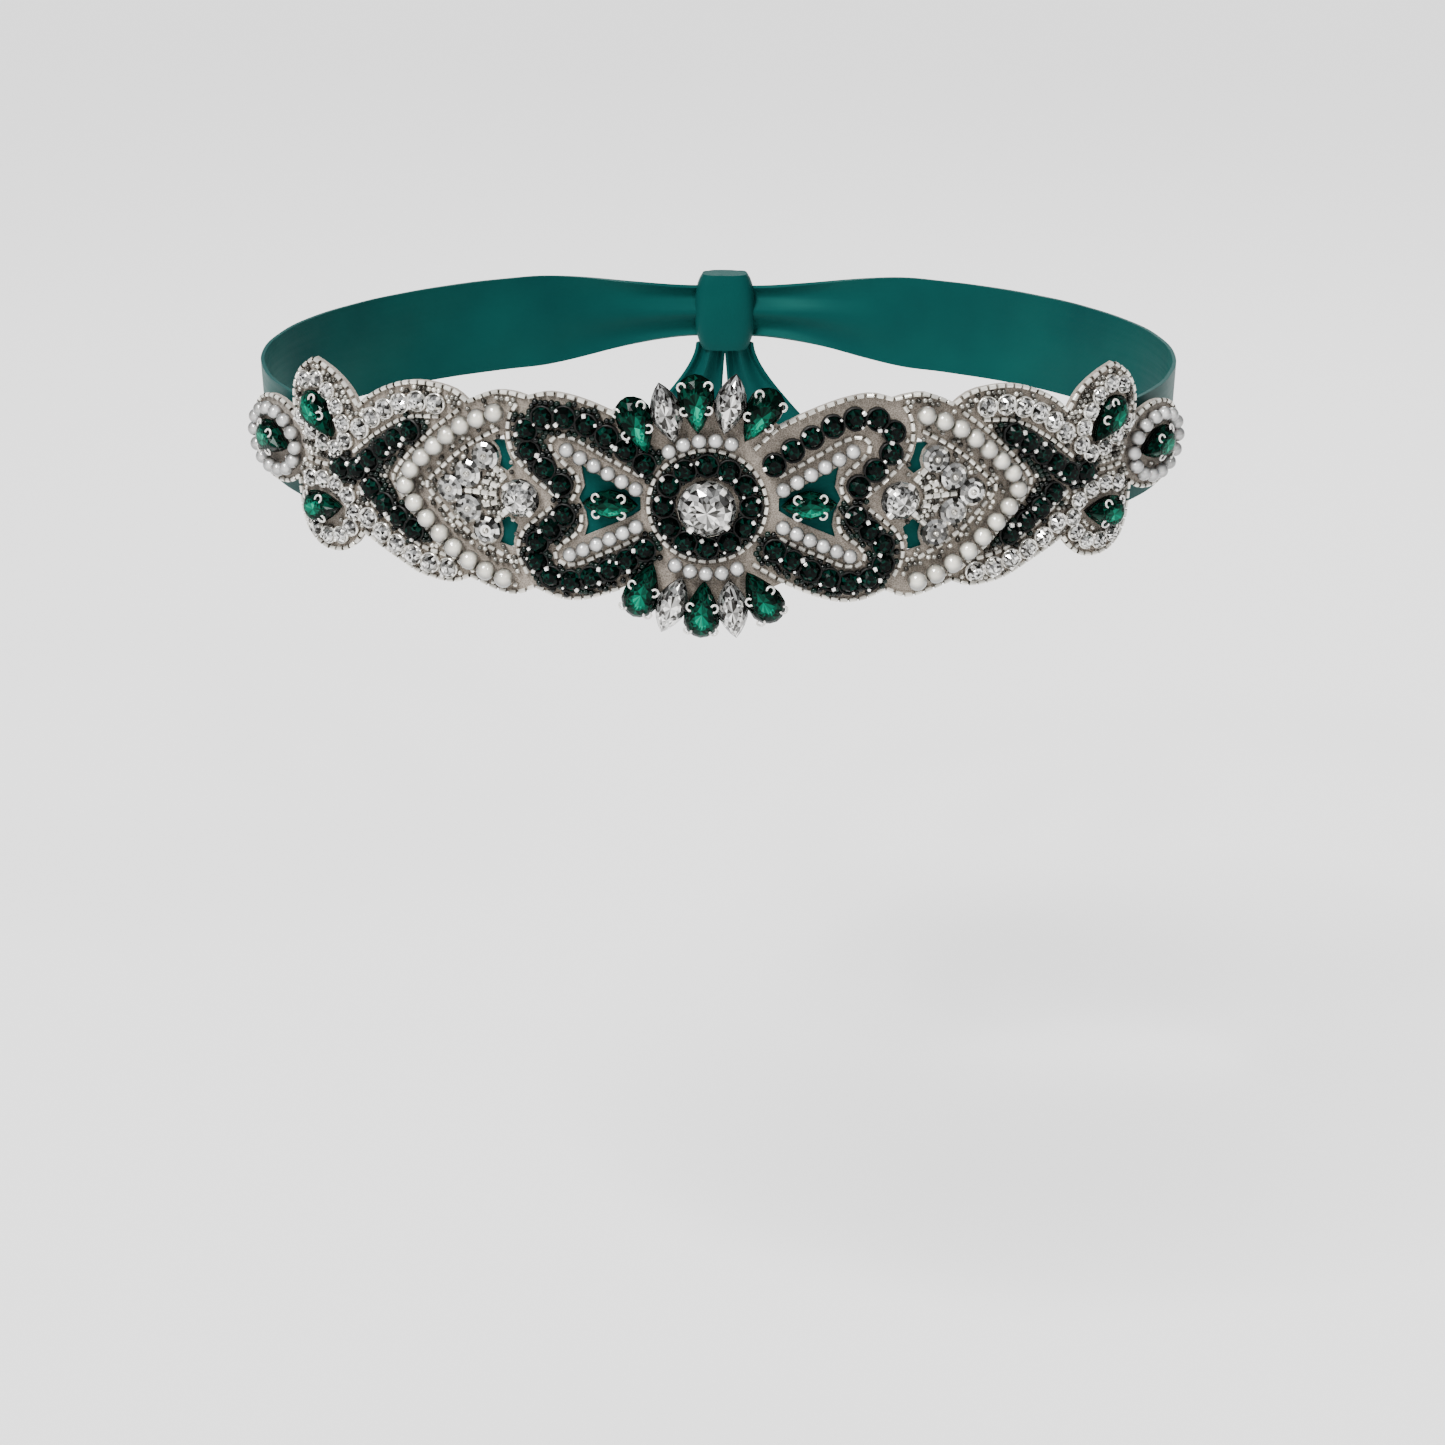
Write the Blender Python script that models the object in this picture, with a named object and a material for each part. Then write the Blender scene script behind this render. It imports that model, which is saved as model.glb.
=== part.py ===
"""Bridal sash: a satin ribbon knotted round the waist, with a beaded and jewelled applique on its front.

Blender works in metres with +Z up. The front of the waist faces -Y. Sizes and tables below are in
millimetres. A sewn piece is placed by three measures on the waist: along it from the centre front
(towards +X), up from the ribbon's centre line, and out from the ribbon's outer face."""

import bisect
import collections
import math

import bmesh
import bpy
from mathutils import Vector
from mathutils.geometry import delaunay_2d_cdt

MM = 0.001

# Waist and ribbon
WAIST_HALF_WIDTH = 112.0
WAIST_HALF_DEPTH = 82.0
RIBBON_WIDTH = 25.0
RIBBON_THICKNESS = 1.0
SEAM_GAP = 0.3
BAND_SECTIONS = 48
FOLD_POINTS = 7

# Knot and tails at the centre back
KNOT_WIDTH = 16.0
KNOT_HEIGHT = 21.0
KNOT_DEPTH = 9.0
KNOT_INNER_FACE = -0.9
KNOT_SECTIONS = 9
KNOT_RING_POINTS = 18
KNOT_FOLDS = 3
KNOT_FOLD_DEPTH = 0.7
KNOT_END_TAPER = 0.45
KNOT_SIDE_POWER = 0.6
KNOT_FACE_POWER = 0.7
GATHER_LENGTH = 48.0
GATHERED_WIDTH = 13.0
GATHERED_THICKENING = 0.5
GATHER_LIFT = 3.0
FOLD_DEPTH = 1.5
FOLD_WAVES = 1.5
TAIL_SECTIONS = 9
TAIL_LENGTH = 64.0
TAIL_TOP_WIDTH = 6.4
TAIL_TOP_CENTRE = 3.8
TAIL_SPREAD = 22.0
TAIL_END_SLANT = 7.0
TAIL_LIFT = 2.6
TAIL_BELLY = 1.2
TAIL_WAVE = 0.6
# Shares of the tail's length at which it is open to full width, and has spread to its place
TAIL_OPEN_AT = 0.53
TAIL_SPREAD_AT = 0.87
TAIL_SPREAD_POWER = 0.8

# Applique cloth: its wall, its plain edge beyond the bead lines, and its size of facet
CLOTH_THICKNESS = 1.2
CLOTH_INNER = SEAM_GAP
CLOTH_OUTER = CLOTH_INNER + CLOTH_THICKNESS
EDGE_MARGIN = 1.2
NOTCH_MARGIN = 1.4
EDGE_STEP = 4.2
CLOTH_GRID = 8.5
GRID_CLEARANCE = 2.2
FAN_CLOTH_RADIUS = 24.5
FAN_CLOTH_ANGLE = 34.0

# Lines of small beads, raised in the cloth's outer face
BEAD_LINE_HALF_WIDTH = 0.8
BEAD_LINE_HEIGHT = 1.0
MEDALLION_RADIUS = 13.1
MEDALLION_CENTRE = (-0.5, 0.0)

# Sewn pieces stand on the cloth
SEWN_LEVEL = CLOTH_OUTER + SEAM_GAP

# Medallion and the two fans round it
MEDALLION_RING_RADIUS = 9.7
MEDALLION_RING_COUNT = 12
ARC_RADIUS = 15.7
ARC_COUNT = 5
ARC_SPACING = 13.0

# The stiff ends of the applique stand off the ribbon, from one length along it to another
STAND_OFF = 3.2
STAND_OFF_START = 74.0
STAND_OFF_END = 132.0
FRAME_STEP = 0.5

# End flower: an oval ring of pearls round a pear stone
FLOWER_ALONG = 114.5
FLOWER_UP = 1.5
FLOWER_RING_HALF_SIZES = (9.0, 7.2)
FLOWER_EDGE_HALF_SIZES = (11.9, 10.1)
FLOWER_PEARLS = 14
FLOWER_TOP_TURN = 136.0
FLOWER_BOTTOM_TURN = -138.0
FLOWER_NOTCH_TURN = 16.0

# Cloth edge of the right half, clockwise from the centre top: (along, up)
UPPER_EDGES = {
    "wing": ((15.3, 18.2), (21, 20.8), (26, 22.8), (31, 24.2), (36, 24.7), (41, 23.4)),
    "lozenge": ((41, 23.4), (44.3, 24.0), (48.2, 24.0), (51.8, 22.7), (55.3, 20.9)),
    "fishtail": (
        (55.3, 20.9), (59, 23.1), (64.5, 23.9), (70.5, 23.5), (76.5, 21.4), (81.5, 18.6), (85.6, 15.2),
    ),
    "leaf_inner": ((85.6, 15.2), (88.8, 19.4), (93.4, 22.4), (98.8, 24.4)),
    "leaf_outer": ((98.8, 24.4), (103.2, 21.2), (105.8, 17), (106.4, 12.8), (106.0, 9.0)),
}
LOWER_EDGES = {
    "leaf": (
        (105.8, -5.6), (105.4, -10), (104.8, -14.4), (102.6, -18.4),
        (98.6, -20.9), (93.4, -21), (88.8, -18.8), (85.4, -14.8),
    ),
    "fishtail": (
        (85.4, -14.8), (80, -17.3), (75, -19.4), (70, -21.5), (64.8, -22.4), (60, -22.3), (56, -20.6),
    ),
    "lozenge": ((56, -20.6), (52.4, -21.8), (48.6, -22.9), (44.5, -23.2), (39.8, -21.2)),
    "wing": ((39.8, -21.2), (35, -23), (30, -23.3), (25, -22), (20.5, -20.2), (14.9, -17.3)),
}
# Length of a wing's edge that has no bead line, because a fan stone lies over it, by side of the waist
WING_LINE_STARTS = {1: 0.0, -1: 7.0}

# Bead lines inside the right half: (along, up)
INNER_LINES = {
    "wing_side_upper": (
        (43.2, 22.0), (45.2, 18.6), (45.6, 14.6), (44.7, 10.6), (41.8, 6.8), (38.2, 3.6), (34.6, 0.9),
    ),
    "wing_side_lower": (
        (41.6, -18.6), (43.4, -15.0), (43.7, -11.4), (42.0, -7.6), (38.6, -4.4), (35.4, -1.6),
    ),
    "wing_eye_upper": (
        (15.2, 6.6), (20, 9.2), (25, 11.9), (29.4, 14.3), (33.2, 15.1),
        (35.8, 13.4), (34.6, 10.6), (31.8, 8), (29.7, 5.6), (29.4, 3.2), (31.2, 0),
    ),
    "wing_eye_lower": (
        (15.4, -7.6), (20, -10.1), (25, -12.6), (29.2, -14.7), (33, -15.2),
        (35, -13), (33.4, -10.4), (30.6, -8.2), (28.8, -5.6), (29, -2.8),
    ),
    "lozenge_outer": (
        (57.2, 19.1), (60.6, 16.4), (64.4, 13.3), (67.9, 9.9), (71.3, 6.4), (74.2, 3), (75.8, 0),
        (74.2, -3), (71.3, -6.4), (67.9, -9.9), (64.4, -13.3), (60.6, -16.2), (57.4, -18.6),
    ),
    "lozenge_inner": (
        (47.6, 15.7), (52, 13.1), (56, 10.4), (59.4, 7.6), (62.6, 4.4), (66.4, 0),
        (62.6, -4.4), (59.4, -7.6), (56, -10.1), (52, -12.4), (47.2, -14.7),
    ),
    "fishtail_upper": (
        (62.4, 16.6), (65.4, 16.2), (69.0, 15.7), (73.6, 14), (78, 11.4), (82.4, 8.3), (87.6, 3.9),
    ),
    "fishtail_lower": (
        (61.6, -16.6), (65, -16.1), (68.5, -15.4), (73.6, -13.0), (78.2, -10.2), (82.6, -7.1), (86.6, -3.8),
    ),
    "between_leaves": ((95.2, -0.6), (98.6, -0.8), (102.6, -0.2)),
}
# Bead lines of the right half only, from the medallion to the wing: (along, up)
ROOT_LINES = (
    ((9.6, 12.9), (12.4, 15.6), (15.3, 18.2)),
    ((9.4, -13.7), (12.0, -15.4), (14.9, -17.3)),
)

# Openings in the cloth of the right half, which show the ribbon: (along, up)
CUTOUTS = {
    "wing_eye": (
        (15.4, 1.5), (17.4, 2.5), (22.2, 5.0), (28.9, 8.5), (28.5, 6.2), (28.1, 3.6), (29.5, 0.6),
        (27.9, -2.6), (27.5, -5.4), (28.3, -8.3), (22.2, -5.4), (17.4, -3.0), (15.4, -1.5),
    ),
    "upper_triangle": (
        (46.9, 13.9), (49.6, 12.3), (48.3, 10.8), (47.7, 8.6),
        (48.2, 6.5), (46.4, 5.4), (44.7, 7.0), (46.1, 10.4),
    ),
    "lower_triangle": (
        (45.0, -12.9), (48.6, -11.9), (47.9, -10.2), (47.7, -8.6),
        (48.2, -6.5), (46.2, -5.2), (43.9, -7.0), (45.1, -11.0),
    ),
}

# Strings of sewn pieces on the right half: kind, count, and the route of their centres
STRINGS = {
    "pearls_wing_upper": ("small_pearl", 6, ((16.2, 4.0), (23.9, 8.2), (31.6, 12.3))),
    "pearls_wing_lower": ("small_pearl", 6, ((16.2, -4.9), (23.8, -8.9), (31.2, -12.4))),
    "pearls_lozenge": (
        "large_pearl", 15,
        (
            (48, 19.6), (52.3, 17.8), (56.4, 15.6), (59.9, 12.9), (63.2, 10), (66.6, 6.8), (69.6, 3.5),
            (71.2, 0), (69.6, -3.5), (66.6, -6.8), (63.2, -10), (59.9, -12.9), (56.1, -15.6),
            (51.8, -17.9), (46.8, -19.4),
        ),
    ),
    "chain_wing_upper": (
        "dark_stone", 10,
        (
            (14.3, 9.7), (18.9, 13.3), (24.4, 16.8), (30, 19.2), (35.6, 19.7),
            (40.3, 17.4), (41.3, 12.8), (38.6, 8.9), (35.6, 6.2), (33.2, 3.8),
        ),
    ),
    "chain_wing_lower": (
        "dark_stone", 10,
        (
            (14.5, -10.4), (19.6, -13.9), (24.8, -16.9), (30, -18.8), (35, -18.8),
            (38.6, -15.9), (39.5, -11.8), (37.2, -7.9), (34.3, -5.5), (32.7, -3.3),
        ),
    ),
    "chain_dark_upper": (
        "dark_stone", 6,
        ((70.3, 12.3), (74.5, 9.6), (78.5, 6.6), (82.2, 3.4), (86.2, 0.4), (91, -0.2)),
    ),
    "chain_dark_lower": ("dark_stone", 4, ((70.1, -11.5), (74.4, -9.0), (78.3, -6.5), (81.9, -3.6))),
    "chain_clear_upper": (
        "clear_stone", 6,
        ((63.2, 19.7), (67.9, 19.6), (72.6, 18.4), (77, 16.4), (81, 13.7), (84.6, 10.4)),
    ),
    "chain_clear_lower": (
        "clear_stone", 6,
        ((61.4, -19.4), (66.2, -18.9), (71, -17.6), (75.4, -15.9), (79.6, -13.7), (83.2, -11)),
    ),
    "chain_leaf_upper": (
        "leaf_stone", 10,
        (
            (103.4, 9.4), (100.2, 7), (96.9, 5.1), (93.2, 3.9), (89.9, 5.6), (89.7, 9.2),
            (91, 12.5), (92.8, 15.6), (95.2, 18.3), (98.5, 20), (101.7, 18.9),
        ),
    ),
    "chain_leaf_lower": (
        "leaf_stone", 9,
        (
            (101.2, -4.9), (97, -4.3), (92.9, -4.9), (89.3, -7.2), (87.9, -11),
            (89.2, -14.9), (92.4, -17.2), (96.4, -17.9), (100.2, -16.9),
        ),
    ),
    "discs": ("disc", 5, ((51.2, 8.8), (55.4, 4.3), (60.2, 0), (55.4, -4.3), (51.2, -8.8))),
}

# Kinds of strung piece. Link is the share of its size left between two, and rings are the places
# of its full sections along it, as shares of its size
Kind = collections.namedtuple("Kind", "size height link rings is_pearl finish")
KINDS = {
    "small_pearl": Kind(3.5, 3.5, 0.45, (0.0,), True, "pearl"),
    "large_pearl": Kind(4.5, 4.5, 0.45, (0.0,), True, "pearl"),
    "dark_stone": Kind(5.0, 3.4, 0.5, (-0.3, 0.3), False, "dark_glass"),
    "clear_stone": Kind(4.6, 3.3, 0.5, (-0.3, 0.3), False, "clear_glass"),
    "leaf_stone": Kind(3.9, 2.9, 0.5, (-0.3, 0.3), False, "clear_glass"),
    "disc": Kind(5.9, 2.4, 0.35, (-0.3, 0.3), False, "clear_glass"),
}
PEARL_SIDES = 6
# A strung stone's cup: its width at the seat and at the table, and the least height of a link
CUP_SEAT_SHARE = 0.68
CUP_TABLE_SHARE = 0.9
LINK_HEIGHT_SHARE = 0.35

# Large stones
Stone = collections.namedtuple("Stone", "outline length width height finish")
STONES = {
    "centre": Stone("round", 13.6, 13.6, 6.4, "clear_glass"),
    "pear": Stone("pear", 13.2, 7.6, 4.8, "emerald_glass"),
    "navette": Stone("navette", 13.6, 6.4, 4.8, "clear_glass"),
    "wing_navette": Stone("navette", 12.0, 6.0, 4.6, "emerald_glass"),
    "lozenge_round": Stone("round", 8.5, 8.5, 5.2, "clear_glass"),
    "end_pear": Stone("pear", 12.6, 7.6, 4.8, "emerald_glass"),
}
# Right half of each outline from its head to its tip: (share of half width, share of half length)
OUTLINES = {
    "round": ((0, 1), (0.5, 0.866), (0.866, 0.5), (1, 0), (0.866, -0.5), (0.5, -0.866), (0, -1)),
    "pear": ((0, 1), (0.6, 0.87), (0.97, 0.5), (0.94, 0.06), (0.6, -0.42), (0.26, -0.8), (0, -1)),
    "navette": ((0, 1), (0.36, 0.8), (0.79, 0.42), (1, 0), (0.79, -0.42), (0.36, -0.8), (0, -1)),
}
# Fan stones by the side of the medallion that they stand on: kind, along, up, and the lean of the head in
# degrees clockwise from up
FANS = {
    "stone_fan_top": (
        ("pear", -15.8, 18.9, -20), ("navette", -9.3, 22.0, -14), ("pear", -2.8, 24.1, -3),
        ("navette", 4.6, 24.1, 11), ("pear", 11.1, 21.4, 30),
    ),
    "stone_fan_bottom": (
        ("pear", -14.8, -19.9, -160), ("navette", -8.4, -23.2, -160), ("pear", -1.6, -24.2, -176),
        ("navette", 5.1, -24.0, 173), ("pear", 11.6, -21.3, 150),
    ),
}
TOP_ARC_TURN = -8.0
BOTTOM_ARC_TURN = -3.0
# Single stones of the right half: lean in degrees clockwise from up, and the level of the seat
Single = collections.namedtuple("Single", "kind along up lean level")
SINGLE_STONES = {
    "stone_wing": Single("wing_navette", 22.2, -0.2, 90, CLOTH_INNER),
    "stone_lozenge": Single("lozenge_round", 42.6, 0, 0, SEWN_LEVEL),
    "stone_leaf_upper": Single("end_pear", 97, 11.5, 45, SEWN_LEVEL),
    "stone_leaf_lower": Single("end_pear", 97, -11, 100, SEWN_LEVEL),
    "stone_flower": Single("end_pear", FLOWER_ALONG, FLOWER_UP, 82, SEWN_LEVEL),
}
# Rings of a stone from its seat to its table: share of height, share of outline
STONE_LEVELS = ((0.0, 0.8), (0.4, 1.0), (1.0, 0.6))

# Finishes: base colour, roughness, metallic
FINISHES = {
    "satin_ribbon": ((0.004, 0.11, 0.075, 1), 0.38, 0.0),
    "cream_cloth": ((0.66, 0.58, 0.50, 1), 0.8, 0.0),
    "pearl": ((0.86, 0.84, 0.80, 1), 0.25, 0.0),
    "dark_glass": ((0.004, 0.03, 0.02, 1), 0.1, 0.3),
    "emerald_glass": ((0.0, 0.2, 0.1, 1), 0.08, 0.2),
    "clear_glass": ((0.78, 0.78, 0.77, 1), 0.06, 0.6),
}

TABLE_STEPS = 1440
TABLE_HALF_TURN = 1.15 * math.pi
CURVE_STEPS = 12
CREASE_ANGLE = math.radians(38)
WELD = 1e-4


def waist_table():
    """Waist length against turn, from a little past the centre back on one side to the other."""
    turns = [TABLE_HALF_TURN * (2 * i / TABLE_STEPS - 1) for i in range(TABLE_STEPS + 1)]
    lengths = [0.0]
    for low, high in zip(turns, turns[1:]):
        middle = (low + high) / 2
        rate = math.hypot(WAIST_HALF_WIDTH * math.cos(middle), WAIST_HALF_DEPTH * math.sin(middle))
        lengths.append(lengths[-1] + rate * (high - low))
    centre = lengths[-1] / 2
    return turns, [length - centre for length in lengths]


TURNS, LENGTHS = waist_table()


def half_waist():
    """Length from the centre front to the centre back."""
    i = bisect.bisect(TURNS, math.pi)
    share = (math.pi - TURNS[i - 1]) / (TURNS[i] - TURNS[i - 1])
    return LENGTHS[i - 1] + share * (LENGTHS[i] - LENGTHS[i - 1])


HALF_WAIST = half_waist()


def waist_frame(along):
    """Point on the ribbon's outer face, direction along it, and direction out, with no unit."""
    i = min(max(bisect.bisect(LENGTHS, along), 1), TABLE_STEPS)
    share = (along - LENGTHS[i - 1]) / (LENGTHS[i] - LENGTHS[i - 1])
    turn = TURNS[i - 1] + share * (TURNS[i] - TURNS[i - 1])
    point = Vector((WAIST_HALF_WIDTH * math.sin(turn), -WAIST_HALF_DEPTH * math.cos(turn), 0))
    out = Vector((math.sin(turn) / WAIST_HALF_WIDTH, -math.cos(turn) / WAIST_HALF_DEPTH, 0)).normalized()
    return point, Vector((-out.y, out.x, 0)), out


def place(along, up, out):
    """A point in metres from its three measures on the waist."""
    point, _, outward = waist_frame(along)
    return (point + outward * out + Vector((0, 0, up))) * MM


def stand_off(along):
    """How far the applique's stiff ends stand off the ribbon."""
    return STAND_OFF * eased((abs(along) - STAND_OFF_START) / (STAND_OFF_END - STAND_OFF_START))


def sewn_frame(along):
    """Point on the applique's ground, direction along it, and direction out, with no unit."""
    points = []
    for shift in (-FRAME_STEP, 0, FRAME_STEP):
        point, _, out = waist_frame(along + shift)
        points.append(point + out * stand_off(along + shift))
    ahead = (points[2] - points[0]).normalized()
    return points[1], ahead, Vector((ahead.y, -ahead.x, 0))


def sewn_place(along, up, out):
    """A point in metres on the applique."""
    point, _, outward = sewn_frame(along)
    return (point + outward * out + Vector((0, 0, up))) * MM


def smooth(points, closed=False):
    """Fine points on a smooth curve through the given ones."""
    count = len(points)
    spans = count if closed else count - 1
    found = []
    for i in range(spans):
        if closed:
            a, b, c, d = (Vector(points[(i + k) % count]) for k in (-1, 0, 1, 2))
        else:
            b, c = Vector(points[i]), Vector(points[i + 1])
            a = Vector(points[i - 1]) if i else b * 2 - c
            d = Vector(points[i + 2]) if i + 2 < count else c * 2 - b
        for step in range(CURVE_STEPS):
            t = step / CURVE_STEPS
            bent = (c - a) * t + (2 * a - 5 * b + 4 * c - d) * t**2 + (3 * b - a - 3 * c + d) * t**3
            found.append(b + bent / 2)
    found.append(Vector(points[0] if closed else points[-1]))
    return found


def path_lengths(path):
    lengths = [0.0]
    for a, b in zip(path, path[1:]):
        lengths.append(lengths[-1] + (b - a).length)
    return lengths


def at_length(path, lengths, length):
    i = min(max(bisect.bisect(lengths, length), 1), len(path) - 1)
    share = (length - lengths[i - 1]) / (lengths[i] - lengths[i - 1])
    return path[i - 1].lerp(path[i], share)


def spaced(path, count, start=0.0, end=None):
    """This many points, evenly spaced along a path from one length to another."""
    lengths = path_lengths(path)
    end = lengths[-1] if end is None else end
    return [at_length(path, lengths, start + (end - start) * i / (count - 1)) for i in range(count)]


def stepped(path, step):
    """Points about one step apart along a path, its two ends among them."""
    return spaced(path, max(2, round(path_lengths(path)[-1] / step) + 1))


def ellipse(centre, half_sizes, first, last, step):
    """Points on an ellipse between two turns in degrees, anticlockwise from +along."""
    length = math.radians(abs(last - first)) * (half_sizes[0] + half_sizes[1]) / 2
    count = max(3, round(length / step) + 1)
    turns = [math.radians(first + (last - first) * i / (count - 1)) for i in range(count)]
    offsets = [Vector((half_sizes[0] * math.cos(a), half_sizes[1] * math.sin(a))) for a in turns]
    return [Vector(centre) + shift for shift in offsets]


def mirrored(points):
    return [Vector((-p[0], p[1])) for p in points]


def material(finish):
    """The Principled material of a finish, made once."""
    found = bpy.data.materials.get(finish)
    if found:
        return found
    colour, roughness, metallic = FINISHES[finish]
    found = bpy.data.materials.new(finish)
    found.use_nodes = True
    shader = found.node_tree.nodes["Principled BSDF"]
    shader.inputs["Base Color"].default_value = colour
    shader.inputs["Roughness"].default_value = roughness
    shader.inputs["Metallic"].default_value = metallic
    found.diffuse_color = colour
    return found


def add_object(name, points, faces, finish):
    """A closed mesh object, its faces turned outwards and shaded smooth."""
    mesh = bpy.data.meshes.new(name)
    mesh.from_pydata([tuple(p) for p in points], [], faces)
    body = bmesh.new()
    body.from_mesh(mesh)
    bmesh.ops.recalc_face_normals(body, faces=body.faces)
    body.to_mesh(mesh)
    body.free()
    mesh.shade_smooth()
    mesh.set_sharp_from_angle(angle=CREASE_ANGLE)
    mesh.materials.append(material(finish))
    part = bpy.data.objects.new(name, mesh)
    bpy.context.scene.collection.objects.link(part)
    return part


def add_loft(name, rings, finish, closed=False):
    """A body bridged through rings of points, with flat ends unless it closes on itself."""
    size = len(rings[0])
    points = [p for ring in rings for p in ring]
    faces = []
    spans = len(rings) if closed else len(rings) - 1
    for i in range(spans):
        first, second = i * size, (i + 1) % len(rings) * size
        for j in range(size):
            k = (j + 1) % size
            faces.append((first + j, first + k, second + k, second + j))
    if not closed:
        faces.append(tuple(range(size)))
        faces.append(tuple(reversed(range((len(rings) - 1) * size, len(rings) * size))))
    return add_object(name, points, faces, finish)


# Ribbon


def eased(share):
    """0 to 1 with a soft start and end."""
    share = min(max(share, 0.0), 1.0)
    return share * share * (3 - 2 * share)


def ribbon_section(width, fold, lift, thickness):
    """(across, out) round a section of ribbon: its outer face upwards, then its inner face down."""
    outer = []
    for i in range(FOLD_POINTS):
        share = i / (FOLD_POINTS - 1)
        wave = fold * math.sin(2 * math.pi * FOLD_WAVES * share)
        outer.append(((share - 0.5) * width, lift + wave))
    inner = [(across, out - thickness) for across, out in reversed(outer)]
    return outer + inner


def add_ribbon_band():
    """The ribbon round the waist, gathered into folds where its ends enter the knot."""
    end = HALF_WAIST - KNOT_WIDTH / 2 - SEAM_GAP
    rings = []
    for i in range(BAND_SECTIONS + 1):
        along = end * (2 * i / BAND_SECTIONS - 1)
        gather = eased((abs(along) - end + GATHER_LENGTH) / GATHER_LENGTH)
        width = RIBBON_WIDTH + (GATHERED_WIDTH - RIBBON_WIDTH) * gather
        thickness = RIBBON_THICKNESS * (1 + GATHERED_THICKENING * gather)
        section = ribbon_section(width, FOLD_DEPTH * gather, GATHER_LIFT * gather, thickness)
        rings.append([place(along, across, out) for across, out in section])
    add_loft("ribbon_band", rings, "satin_ribbon")


def add_knot():
    """The flat knot: a rounded wrap with upright folds on its outer face."""
    rings = []
    for i in range(KNOT_SECTIONS):
        level = 2 * i / (KNOT_SECTIONS - 1) - 1
        swell = (1 - abs(level) ** 3 * KNOT_END_TAPER) ** 0.5
        ring = []
        for j in range(KNOT_RING_POINTS):
            turn = 2 * math.pi * j / KNOT_RING_POINTS
            side = math.copysign(abs(math.cos(turn)) ** KNOT_SIDE_POWER, math.cos(turn))
            face = math.copysign(abs(math.sin(turn)) ** KNOT_FACE_POWER, math.sin(turn))
            groove = KNOT_FOLD_DEPTH * math.cos(KNOT_FOLDS * turn * 2) if face > 0 else 0
            out = KNOT_INNER_FACE + (1 + face * swell) * KNOT_DEPTH / 2 + groove * swell
            ring.append(place(HALF_WAIST + side * KNOT_WIDTH / 2 * swell, level * KNOT_HEIGHT / 2, out))
        rings.append(ring)
    add_loft("ribbon_knot", rings, "satin_ribbon")


def add_tail(name, side):
    """A free end of the ribbon: it leaves the knot folded, opens to full width and is cut aslant."""
    rings = []
    top = -KNOT_HEIGHT / 2 - SEAM_GAP
    for i in range(TAIL_SECTIONS):
        share = i / (TAIL_SECTIONS - 1)
        opened = eased(share / TAIL_OPEN_AT)
        spread = eased(share / TAIL_SPREAD_AT) ** TAIL_SPREAD_POWER
        belly = math.sin(math.pi * share)
        width = TAIL_TOP_WIDTH + (RIBBON_WIDTH - TAIL_TOP_WIDTH) * opened
        centre = max(TAIL_TOP_CENTRE + (TAIL_SPREAD - TAIL_TOP_CENTRE) * spread, width / 2 + SEAM_GAP)
        fold = FOLD_DEPTH * (1 - opened) + TAIL_WAVE * opened * belly
        thickness = RIBBON_THICKNESS * (1 + GATHERED_THICKENING * (1 - opened))
        section = ribbon_section(width, fold, TAIL_LIFT + TAIL_BELLY * belly, thickness)
        slant = TAIL_END_SLANT * share**2 / (RIBBON_WIDTH / 2)
        ring = []
        for across, out in section:
            up = top - share * TAIL_LENGTH + slant * across
            ring.append(place(HALF_WAIST - side * (centre + across), up, out))
        rings.append(ring)
    add_loft(name, rings, "satin_ribbon")


# Applique cloth


def offset(path, margin):
    """The path moved to its left by a margin."""
    moved = []
    for i, point in enumerate(path):
        ahead = path[min(i + 1, len(path) - 1)] - path[max(i - 1, 0)]
        moved.append(point + Vector((-ahead.y, ahead.x)).normalized() * margin)
    return moved


def edge_stretch(points):
    """One stretch of the cloth's edge, outside its bead line, without the notches at its ends."""
    path = offset(stepped(smooth(points), EDGE_STEP / 2), EDGE_MARGIN)
    lengths = path_lengths(path)
    count = max(2, round((lengths[-1] - EDGE_STEP) / EDGE_STEP) + 1)
    return spaced(path, count, EDGE_STEP / 2, lengths[-1] - EDGE_STEP / 2)


def fan_arc(first, last):
    return ellipse((0, 0), (FAN_CLOTH_RADIUS, FAN_CLOTH_RADIUS), first, last, EDGE_STEP)


def half_outline():
    """Edge of the cloth's right half, clockwise from the centre top."""
    outline = fan_arc(90, 90 - FAN_CLOTH_ANGLE)
    for points in UPPER_EDGES.values():
        outline.append(Vector(points[0]) + Vector((0, NOTCH_MARGIN)))
        outline += edge_stretch(points)
    sizes = [size + EDGE_MARGIN for size in FLOWER_EDGE_HALF_SIZES]
    first, last = FLOWER_TOP_TURN - FLOWER_NOTCH_TURN, FLOWER_BOTTOM_TURN + FLOWER_NOTCH_TURN
    outline += ellipse((FLOWER_ALONG, FLOWER_UP), sizes, first, last, EDGE_STEP)
    for name, points in LOWER_EDGES.items():
        if name != "leaf":
            outline.append(Vector(points[0]) - Vector((0, NOTCH_MARGIN)))
        outline += edge_stretch(points)
    outline += fan_arc(FAN_CLOTH_ANGLE - 90, -90)
    return outline


def cloth_outline():
    half = half_outline()
    return half + mirrored(half[1:-1])[::-1]


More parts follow.
